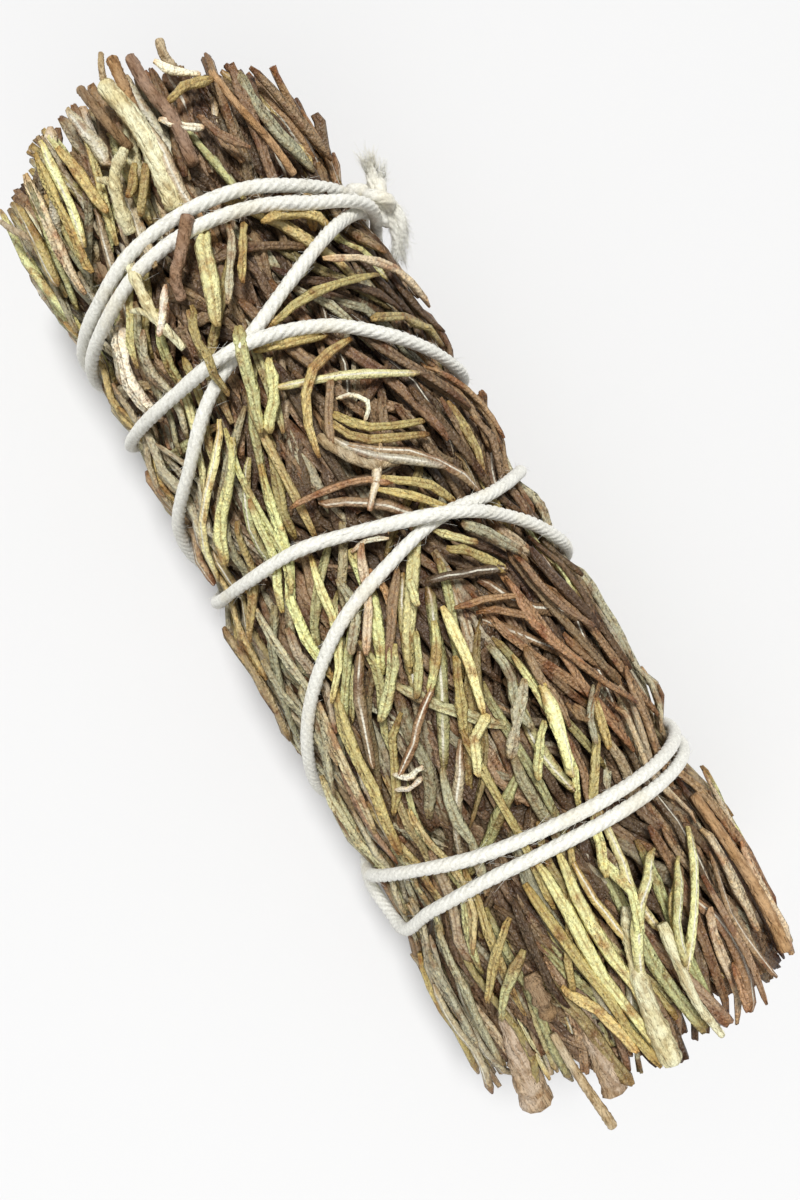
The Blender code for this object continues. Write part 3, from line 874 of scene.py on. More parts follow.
class Nodes:
    """A material and short names for the nodes that it is made of."""

    def __init__(self, name: str) -> None:
        """Starts a material with one surface shader.

        Args:
            name: The material's name.
        """
        self.material = bpy.data.materials.new(name)
        self.material.use_nodes = True
        self.tree = self.material.node_tree
        self.shader = next(node for node in self.tree.nodes if node.type == "BSDF_PRINCIPLED")

    def add(self, kind: str) -> bpy.types.Node:
        """A new node."""
        return self.tree.nodes.new(kind)

    def link(self, source: object, target: Socket) -> None:
        """Joins a socket, or sets a value, on another.

        Args:
            source: A socket, a number or a colour.
            target: The socket that takes it.
        """
        if isinstance(source, Socket):
            self.tree.links.new(source, target)
        elif isinstance(source, tuple):
            target.default_value = (*source, 1.0) if len(target.default_value) == 4 else source
        else:
            target.default_value = source

    def surface(self, colour: Socket, roughness: float, specular: float) -> bpy.types.Material:
        """Gives the surface its colour and its shine.

        Args:
            colour: Its colour.
            roughness: How matt it is.
            specular: How strongly it reflects.

        Returns:
            The finished material.
        """
        self.link(colour, self.shader.inputs["Base Color"])
        self.shader.inputs["Roughness"].default_value = roughness
        self.shader.inputs["Specular IOR Level"].default_value = specular
        return self.material

    def place(self) -> Socket:
        """The place on the object, in metres."""
        return self.add("ShaderNodeTexCoord").outputs["Object"]

    def attribute(self, name: str, output: str) -> Socket:
        """A value kept on the piece's points.

        Args:
            name: The attribute.
            output: Whether it is read as a colour or as a vector.

        Returns:
            The value.
        """
        node = self.add("ShaderNodeAttribute")
        node.attribute_name = name
        return node.outputs[output]

    def split(self, vector: Socket) -> tuple[Socket, ...]:
        """A vector's three parts.

        Args:
            vector: The vector.

        Returns:
            Its x, y and z.
        """
        node = self.add("ShaderNodeSeparateXYZ")
        self.link(vector, node.inputs[0])
        return tuple(node.outputs)

    def noise(self, place: Socket, scale: float, detail: float, rough: float) -> Socket:
        """Soft mottling.

        Args:
            place: Where it is read.
            scale: Features in a metre.
            detail: Octaves.
            rough: How strong the finer ones are.

        Returns:
            A value around a half.
        """
        node = self.add("ShaderNodeTexNoise")
        self.link(place, node.inputs["Vector"])
        for socket, value in (("Scale", scale), ("Detail", detail), ("Roughness", rough)):
            node.inputs[socket].default_value = value
        return node.outputs["Fac"]

    def voronoi(self, place: Socket, scale: float) -> Socket:
        """Small round cells.

        Args:
            place: Where they are read.
            scale: Cells in a metre.

        Returns:
            Distance from the middle of the nearest.
        """
        node = self.add("ShaderNodeTexVoronoi")
        self.link(place, node.inputs["Vector"])
        node.inputs["Scale"].default_value = scale
        return node.outputs["Distance"]

    def ramp(self, value: Socket, start: float, end: float) -> Socket:
        """Nothing before one value and all after another.

        Args:
            value: What is read.
            start: Where it is nothing.
            end: Where it is one.

        Returns:
            The smooth step between them.
        """
        node = self.add("ShaderNodeMapRange")
        node.interpolation_type = "SMOOTHSTEP"
        self.link(value, node.inputs["Value"])
        rising = start < end
        node.inputs["From Min"].default_value = min(start, end)
        node.inputs["From Max"].default_value = max(start, end)
        node.inputs["To Min"].default_value = float(not rising)
        node.inputs["To Max"].default_value = float(rising)
        return node.outputs["Result"]

    def math(self, operation: str, *values: object, kind: str = "ShaderNodeMath") -> Socket:
        """Arithmetic.

        Args:
            operation: What is done.
            values: Sockets, numbers or vectors, one for each input.
            kind: The node that does it.

        Returns:
            The result.
        """
        node = self.add(kind)
        node.operation = operation
        for socket, value in zip(node.inputs, values):
            self.link(value, socket)
        return node.outputs[0]

    def mix(self, share: object, first: object, second: object, blend: str = "MIX") -> Socket:
        """One colour over another.

        Args:
            share: How much of the second.
            first: The colour below.
            second: The colour above.
            blend: How they meet.

        Returns:
            The mixed colour.
        """
        node = self.add("ShaderNodeMix")
        node.data_type = "RGBA"
        node.blend_type = blend
        for socket, value in ((node.inputs[0], share), (node.inputs[6], first), (node.inputs[7], second)):
            self.link(value, socket)
        return node.outputs[2]

    def tinted(self, colour: object, by: Colour) -> Socket:
        """A colour multiplied by another."""
        return self.mix(1.0, colour, by, "MULTIPLY")

    def worn(self, colour: Socket, where: Socket, by: Colour, share: float = 1.0) -> Socket:
        """A colour that is darker or paler in places.

        Args:
            colour: The colour elsewhere.
            where: One where it changes.
            by: What it is multiplied by there.
            share: How much of the change shows.

        Returns:
            The new colour.
        """
        if share < 1.0:
            where = self.math("MULTIPLY", where, share)
        return self.mix(where, colour, self.tinted(colour, by))

    def bump(
        self, height: Socket, strength: float, distance: float,
        below: Socket | None = None,
    ) -> Socket:
        """Relief, as the shader's normal.

        Args:
            height: The relief.
            strength: How strongly it shows.
            distance: Its depth in metres.
            below: Relief that this one goes over.

        Returns:
            The normal.
        """
        node = self.add("ShaderNodeBump")
        node.inputs["Strength"].default_value = strength
        node.inputs["Distance"].default_value = distance
        self.link(height, node.inputs["Height"])
        if below is not None:
            self.link(below, node.inputs["Normal"])
        self.link(node.outputs["Normal"], self.shader.inputs["Normal"])
        return node.outputs["Normal"]


NEEDLE = NeedlePattern()


def at_steps(at: Array, *rows: Array) -> list[Array]:
    """Rows of values, read between their steps."""
    return [np.interp(at, np.arange(len(row)), row) for row in rows]


def lane_of(angle: float) -> int:
    """The number of the outer sprig that lies at an angle."""
    return int((math.degrees(angle) - FIRST_LANE) % 360 * OUTER_SPRIGS // 360) + 1


def dried(rng: Chance, tones: tuple[tuple[Tone, float], ...]) -> Array:
    """A needle's colour.

    Args:
        rng: Source of chance.
        tones: The tones it may have and how often.

    Returns:
        One of them, or a little of two, in linear light.
    """
    weights = np.array([weight for _, weight in tones])
    first, second = rng.choice(len(tones), 2, p=weights / weights.sum())
    share = rng.uniform(0, 0.4)
    colour = (1 - share) * np.array(tones[first][0].value) + share * np.array(tones[second][0].value)
    return colour * rng.uniform(0.78, 1.22) * rng.uniform(0.965, 1.035, 3)


@dataclass(frozen=True)
class Sprig:
    """One sprig of the bundle: whether it is an outer one, its number among these, and its finish's slot."""

    outer: bool
    number: int
    slot: str

    @property
    def name(self) -> str:
        """Its name."""
        return f"{'outer' if self.outer else 'inner'}_sprig_{self.number}"

    @property
    def span(self) -> int:
        """How many degrees it takes up."""
        return 360 // (OUTER_SPRIGS if self.outer else INNER_SPRIGS)

    @property
    def first(self) -> int:
        """The angle at which it begins, in degrees."""
        return FIRST_LANE * self.outer + self.span * (self.number - 1)


OUTER_SLOTS = (
    "rosemary_grey_olive", "rosemary_pale_green", "rosemary_pale_green", "rosemary_rust", "rosemary_brown",
    "rosemary_grey_olive", "rosemary_brown", "rosemary_grey_olive", "rosemary_pale_green",
)
INNER_SLOTS = ("rosemary_brown", "rosemary_grey_olive", "rosemary_brown")
SPRIGS = tuple(
    Sprig(outer, number, slot)
    for outer, slots in ((True, OUTER_SLOTS), (False, INNER_SLOTS))
    for number, slot in enumerate(slots, 1)
)


@dataclass
class Sprigs:
    """The foliage: nine sprigs round the outside and three inside, each with its own piece."""

    filling: int = 1300
    count: int = 3900
    tries: int = 4
    most_forced: float = 0.22 * MM
    early_room: float = 1.2 * MM
    room_until: tuple[float, float] = (0.45, 0.3)
    # Painted shade and light: each needle's tone is multiplied by 0.66 for the first laid, which lie lowest,
    # rising to 1.2 for the last, on top.
    shade: tuple[float, float] = (0.66, 0.54)
    deep: float = 1.9 * MM
    turned_over: float = 0.14
    tips: int = 560
    lengths: tuple[float, float] = (10, 18)
    longer_at_last: float = 6
    widths: tuple[float, float] = (0.84, 1.42)
    thickness: tuple[float, float] = (0.55, 0.75)
    astray: float = 0.06
    roll: float = 16
    placed_roll: float = 10
    placed_twist: float = 24
    # Painted light: the placed needles lie on top, so their tone is lightened like that of the upper layers.
    placed_painted_light: float = 1.08
    placed_thickness: float = 0.7
    tip_lengths: tuple[float, float] = (9, 13)
    tip_widths: tuple[float, float] = (0.8, 1.35)
    tip_thickness: float = 0.6
    tip_cut: float = 0.7
    tip_inset: float = 2.2 * MM
    tip_reach: tuple[float, float] = (-3.0, 1.8)
    tip_lean: float = 0.16
    tip_bend: float = 0.9 * MM
    tip_bulge: float = 1.4 * MM
    tip_floor: float = -14.2 * MM
    # Painted shade: the needles inside the trimmed ends are darkened a little.
    tip_painted_shade: float = 0.9
    twigs_after: float = 0.5
    placed_after: float = 0.65
    core_from: float = -43.0 * MM
    core_to: float = 38.6 * MM
    core_inner: float = 7.3 * MM
    inner_reach: float = 6.4 * MM
    core_rings: int = 40
    core_arc: int = 9
    core_gap: float = 0.6
    core_rough: float = 0.22 * MM
    core_tip: float = 0.4 * MM
    core_squeeze: float = 0.9
    # Painted shade: the core's dark brown is darkened further, so that the gaps down to it read as shadow.
    core_painted_shade: float = 0.8
    thatch: Thatch = field(default_factory=Thatch)
    surfaces: dict[str, Surface] = field(init=False)
    rng: Chance = field(default_factory=lambda: np.random.default_rng(SEED + 1))

    def build(self, leaf: bpy.types.Material) -> None:
        """Makes every sprig's needles.

        Args:
            leaf: What they are made of.
        """
        self.surfaces = {sprig.name: Surface(f"{sprig.name}_needles") for sprig in SPRIGS}
        for sprig in SPRIGS:
            self.add_core(sprig)
        for _ in range(self.filling):
            self.add_filling()
        for index in range(self.count):
            if index == round(self.twigs_after * self.count):
                self.lay_twigs()
            if index == round(self.placed_after * self.count):
                self.lay_placed()
            self.add_needle(index / self.count)
        for low in (True, False):
            for _ in range(self.tips):
                self.add_tip(low)
        for sprig in SPRIGS:
            piece = self.surfaces[sprig.name].finish(leaf)
            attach(piece, "root")
            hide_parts(f"{sprig.name}_leaves")

    def add_core(self, sprig: Sprig) -> None:
        """Adds the small dark heart that a sprig's needles stand out of, darkened as painted shade in the
        gaps between them.

        Args:
            sprig: The sprig.
        """
        rings, arc = self.core_rings, self.core_arc
        x = np.linspace(self.core_from, self.core_to, rings)[:, None]
        share = np.concatenate([np.linspace(0, 1, arc), np.linspace(1, 0, arc)])
        angle = np.radians(sprig.first + self.core_gap + (sprig.span - 2 * self.core_gap) * share)[None]
        if sprig.outer:
            far, near = ROLL.radius(x, angle) - self.thatch.depth, self.core_inner
        else:
            far, near = np.full((rings, 2 * arc), self.inner_reach), self.core_tip
        rough = self.rng.normal(0, self.core_rough, far.shape)
        radius = np.where(np.arange(2 * arc) < arc, far + rough, near)
        squeeze = np.ones((rings, 1))
        squeeze[[0, -1]] = self.core_squeeze
        spots = ROLL.point(np.broadcast_to(x, radius.shape), angle, radius * squeeze).reshape(-1, 3)
        lie = np.tile([0.5, 0.5, 1.0], (len(spots), 1))
        # Painted shade: the core is a very dark brown, darkened further, standing for the shade deep in the
        # bundle.
        tint = np.array(Tone.DARK_BROWN.value) * self.core_painted_shade
        self.surfaces[sprig.name].add(tube_pattern(2 * arc, rings), spots, tint, lie)

    def proposal(self, progress: float) -> tuple[Lie, Patch]:
        """A needle that might be laid next.

        Args:
            progress: From nothing at the first to one at the last.

        Returns:
            How it lies, and the patch that it takes after.
        """
        rng = self.rng
        x, angle = self.thatch.lowest_place(10)
        patch = flow_at(rng, x, angle)
        stray = rng.normal(0, patch.spread * (1.7 - progress))
        heading = math.radians(patch.heading + stray + (rng.random() < self.astray) * rng.normal(0, 35))
        if rng.random() < 0.5:
            heading += math.pi
        length = rng.uniform(self.lengths[0], self.lengths[1] + self.longer_at_last * progress) * MM
        width = rng.uniform(*self.widths) * patch.breadth * MM
        below = math.cos(angle) < FLAT_BELOW
        lie = Lie(
            x, angle, heading, length, width, width * rng.uniform(*self.thickness),
            rng.normal(0, 0.05) * length, rng.normal(0, 0.02) * length, rng.uniform(0.1, 1) ** 0.7 * 2.6 * MM,
            0.0 if below else max(0.0, rng.normal(0.4, 0.5)) * MM,
            0.0 if below else max(0.0, rng.normal(-0.3, 0.8)) * MM,
        )
        return lie, patch

    def stamp(self, lie: Lie, rest: Rest, tint: Array, flipped: bool) -> None:
        """Adds a needle that has come to rest to the sprig that it belongs to.

        Args:
            lie: How it was laid.
            rest: Where it came to rest.
            tint: Its colour.
            flipped: Whether its underside shows.
        """
        at = np.interp(NEEDLE.stations, np.linspace(0, 1, len(rest.x)), np.arange(len(rest.x)))
        x, angle, radius = at_steps(at, rest.x, rest.angle, rest.radius)
        surface = self.surfaces[f"outer_sprig_{lane_of(lie.angle)}"]
        NEEDLE.stamp(
            surface, ROLL.point(x, angle, radius), outward_at(angle), lie.width, lie.thickness,
            math.radians(self.rng.normal(0, self.roll)), tint, flipped,
            (self.trimmed(x[0], angle[0]), self.trimmed(x[-1], angle[-1])),
            math.radians(self.rng.normal(0, 95 if self.rng.random() < 0.2 else 28)),
        )

    def trimmed(self, x: float, angle: float) -> float:
        """How blunt a needle's end is: cut across where it reaches a trimmed end of the bundle.

        Args:
            x: Where it ends along the bundle.
            angle: Where it ends round it.

        Returns:
            One where it is cut across, or else nothing.
        """
        near = x < ROLL.end(True, angle) + 1.5 * MM or x > ROLL.end(False, angle) - 1.5 * MM
        return float(near and self.rng.random() < 0.6)

    def lay_twigs(self) -> None:
        """Keeps the places of the twigs that show, so that later needles lie round them."""
        for twig in TWIGS:
            x, angle, radius, _ = run_through(twig.route, 60)
            thick = max(twig.radius, twig.tip_radius) * MM
            self.thatch.press_run(x, angle, radius - SUNK * thick, thick)

    def lay_placed(self) -> None:
        """Lays the needles that stand out, each over those below it but for a tucked end."""
        for placed in PLACED:
            width = placed.width * MM
            x, angle, radius, _ = run_through(placed.route, self.thatch.samples)
            height = radius - ROLL.radius(x, angle)
            free = np.clip(height / (0.3 * MM) + 1, 0, 1)
            over = self.thatch.over(x, angle, width) + 0.1 * width
            radius = (1 - free) * radius + free * np.maximum(radius, over)
            raised = np.clip((height - 0.6 * MM) / (0.15 * MM), 0, 1)
            radius = np.minimum(radius, self.thatch.roof(x, angle) + 3 * MM * raised)
            self.thatch.press_run(x, angle, radius, width / 2)
            x, angle, radius = at_steps(np.array(NEEDLE.stations) * (len(x) - 1), x, angle, radius)
            # Painted light: the tone is lightened because the needle lies on top.
            tint = self.placed_painted_light * dried(self.rng, ((placed.tone, 1.0),))
            surface = self.surfaces[f"outer_sprig_{lane_of(angle[len(angle) // 2])}"]
            NEEDLE.stamp(
                surface, ROLL.point(x, angle, radius), outward_at(angle), width,
                self.placed_thickness * width, math.radians(self.rng.normal(0, self.placed_roll)), tint,
                placed.flipped, twist=math.radians(self.rng.normal(0, self.placed_twist)),
            )

    def add_filling(self) -> None:
        """Lays one of the crossed needles deep inside, in dark tones that paint the shade under the outer
        ones.
        """
        lie, _ = self.proposal(0.0)
        heading = self.rng.normal(0, 0.45)
        lie = replace(lie, heading=heading, length=lie.length * 0.8, tuck=0.0, free=0.0)
        rest = self.thatch.lay(lie, self.deep)
        self.thatch.press(rest)
        self.stamp(lie, rest, dried(self.rng, DEEP_SHADE_MIX), False)

    def add_needle(self, progress: float) -> None:
        """Lays one needle on the outside.

        Args:
            progress: From nothing at the first to one at the last.
        """
        rng = self.rng
        start, span = self.room_until
        room = self.early_room * (1 - min(1.0, max(0.0, (progress - start) / span)))
        found = []
        for _ in range(self.tries):
            lie, patch = self.proposal(progress)
            found.append((self.thatch.lay(lie, room), lie, patch))
        rest, lie, patch = min(found, key=lambda item: item[0].forced)
        if rest.forced > self.most_forced:
            return
        self.thatch.press(rest)
        # Painted shade and light: needles laid early, lower down, are darker, and those laid last, on top,
        # are lighter.
        tint = dried(rng, patch.tones) * (self.shade[0] + self.shade[1] * progress)
        self.stamp(lie, rest, tint, rng.random() < self.turned_over * patch.breadth**2)

    def add_tip(self, low: bool) -> None:
        """Adds one trimmed needle inside an end.

        Args:
            low: Whether at the -X end.
        """
        rng = self.rng
        angle = rng.uniform(0, math.tau)
        reach = float(ROLL.radius(0.0, angle)) - self.tip_inset
        radius = reach * math.sqrt(rng.uniform(0.01, 1))
        outer = radius > 0.5 * (self.inner_reach + self.core_inner)
        inner = int(angle / math.tau * INNER_SPRIGS) + 1
        name = f"outer_sprig_{lane_of(angle)}" if outer else f"inner_sprig_{inner}"
        end = float(ROLL.end(low, angle))
        way = -1 if low else 1
        length = rng.uniform(*self.tip_lengths) * MM
        tip = end + way * rng.uniform(*self.tip_reach) * MM
        t = np.array(NEEDLE.stations)
        lean = rng.normal(0, self.tip_lean, 2)
        bend = rng.normal(0, self.tip_bend, 2)
        x = tip - way * length * (1 - t)
        side, up = (
            radius * part + slope * length * (t - 0.3) + curl * (t**2 - 0.5)
            for part, slope, curl in zip((math.sin(angle), math.cos(angle)), lean, bend)
        )
        far = np.hypot(side, up)
        held = np.minimum(1, (reach + self.tip_bulge) / np.maximum(far, 1e-6))
        side, up = side * held, np.maximum(up * held, self.tip_floor)
        width = rng.uniform(*self.tip_widths) * MM
        path = np.stack([x, side, up], axis=1) + np.array(ROLL.axis)
        turn = rng.uniform(0, math.tau)
        outward = np.tile([0.0, math.sin(turn), math.cos(turn)], (len(t), 1))
        # Painted shade: needles inside the ends are darkened a little.
        tint = dried(rng, flow_at(rng, end, angle).tones) * self.tip_painted_shade
        NEEDLE.stamp(
            self.surfaces[name], path, outward, width, width * self.tip_thickness, 0.0, tint,
            rng.random() < self.turned_over, (0.0, float(rng.random() < self.tip_cut)),
        )


def read_route(text: str) -> Route:
    """Points over the bundle's surface.

    Args:
        text: The points with commas between them, each of x in mm, angle in degrees and height in mm.

    Returns:
        The points.
    """
    return tuple(tuple(map(float, point.split())) for point in text.split(","))


@dataclass(frozen=True)
class Twig:
    """A stem that shows on the outside, through points of x in mm, angle in degrees and height in mm."""

    route: Route
    radius: float
    tip_radius: float
    tone: Tone
    knots: float = 0.0
    knot_spacing: float = 3.2

    @classmethod
    def read(cls, row: str) -> Twig:
        """One twig.

        Args:
            row: Its two radii and its tone, with its knots and their spacing if it has any, and its route.

        Returns:
            The twig.
        """
        look, route = row.split(":")
        radius, tip_radius, tone, *knots = look.split()
        return cls(read_route(route), float(radius), float(tip_radius), Tone[tone], *map(float, knots))


@dataclass(frozen=True)
class PlacedNeedle:
    """A needle that stands out, through points of x in mm, angle in degrees and height in mm."""

    route: Route
    width: float
    tone: Tone
    flipped: bool

    @classmethod
    def read(cls, row: str) -> PlacedNeedle:
        """One needle.

        Args:
            row: Its width and its tone, with "over" if its underside shows, and its route.

        Returns:
            The needle.
        """
        look, route = row.split(":")
        width, tone, *over = look.split()
        return cls(read_route(route), float(width), Tone[tone], bool(over))


TWIGS = tuple(Twig.read(row) for row in """
0.85 0.95 PALE_NODE: -50.6 -1 0.3, -45.4 2 0.5, -42 1 0.3, -38.7 -1 -0.7
0.56 0.5 ORANGE_WOOD: -52.2 5 0.1, -49.6 4 0.1, -47.6 3 -0.4
0.24 0.34 TAN: -52.9 3 0.2, -51.8 1 0.3, -50.4 -1 0
0.55 0.6 RED_BARK: -51.5 10 0.3, -48.3 10 0.5, -45.2 12 0.4, -41.1 11 -0.3
0.42 0.45 TAN: -52 21 0.2, -50.7 20 0.1, -49.4 22 -0.6
0.42 0.6 PALE_NODE 0.28 2.3: -44.6 -5 0.9, -43.1 -12 0.8, -41.2 -15 0.5, -39 -18 -0.6
0.24 0.4 PALE_NODE 0.2 1.6: -43.9 -17 0.6, -43 -14 0.5, -42 -14 0.1
0.52 0.36 PALE_NODE 0.25 2.6: -36.8 -24 -0.8, -33.9 -23 0.4, -31.4 -23 0.4, -28.2 -22 -0.9
0.2 0.36 PALE_NODE 0.2 1.6: -33.2 -29 0.5, -32.6 -26 0.5, -31 -23 0.1
0.6 0.5 RED_BARK: -37.2 1 0.3, -34.8 -6 0.4, -33 -12 0.2, -31.6 -14 -0.5
0.32 0.36 ORANGE_WOOD: -48.1 31 0.3, -44.5 33 0.4, -40.3 38 0.2, -37.5 42 -0.5
0.24 0.4 TAN: -49.8 -69 0.4, -47.3 -61 0.3, -45.7 -58 -0.4
0.42 0.45 BROWN: -51.3 -8 0.2, -47.5 -6 0.3, -44.9 -4 -0.4
0.5 0.62 ORANGE_WOOD: 29 59 -0.5, 33.4 58 0, 37.7 58 0.3, 41.9 57 0.3, 45.1 55 0.2
0.9 1.55 STUMP 0.1 2: 36.7 -46 -1.6, 40.5 -48 -0.9, 43.6 -51 -0.7, 46 -54 -0.9
0.75 1.05 STUMP 0.15 2.2: 38.1 -18 -2.4, 41.1 -19 -1.8, 43.7 -20 -1.4, 46.2 -21 -1.2
0.36 0.46 TAN: 39 -28 -0.6, 42.7 -27 -0.3, 45.8 -25 0.2, 47.9 -24 0.4
0.42 1.05 PALE_NODE 0.12 4.1: 32 11 0, 33.4 8 0.3, 36 5 0.6, 39.9 2 0.9, 44.8 0 0.8
0.55 0.32 PALE_NODE 0.15 3.4: 34.6 17 0.5, 38 15 0.8, 41.5 14 0.7, 45.4 16 0.4
0.7 0.6 BROWN 0.4 1.5: 33.3 -24 -0.2, 35 -24 0.2, 37.6 -26 -0.5
0.45 0.4 TAN 0.2 2.2: -15.5 2 -0.6, -13 6 0, -11.2 11 0.1, -10.4 20 -0.6
""".strip().splitlines())
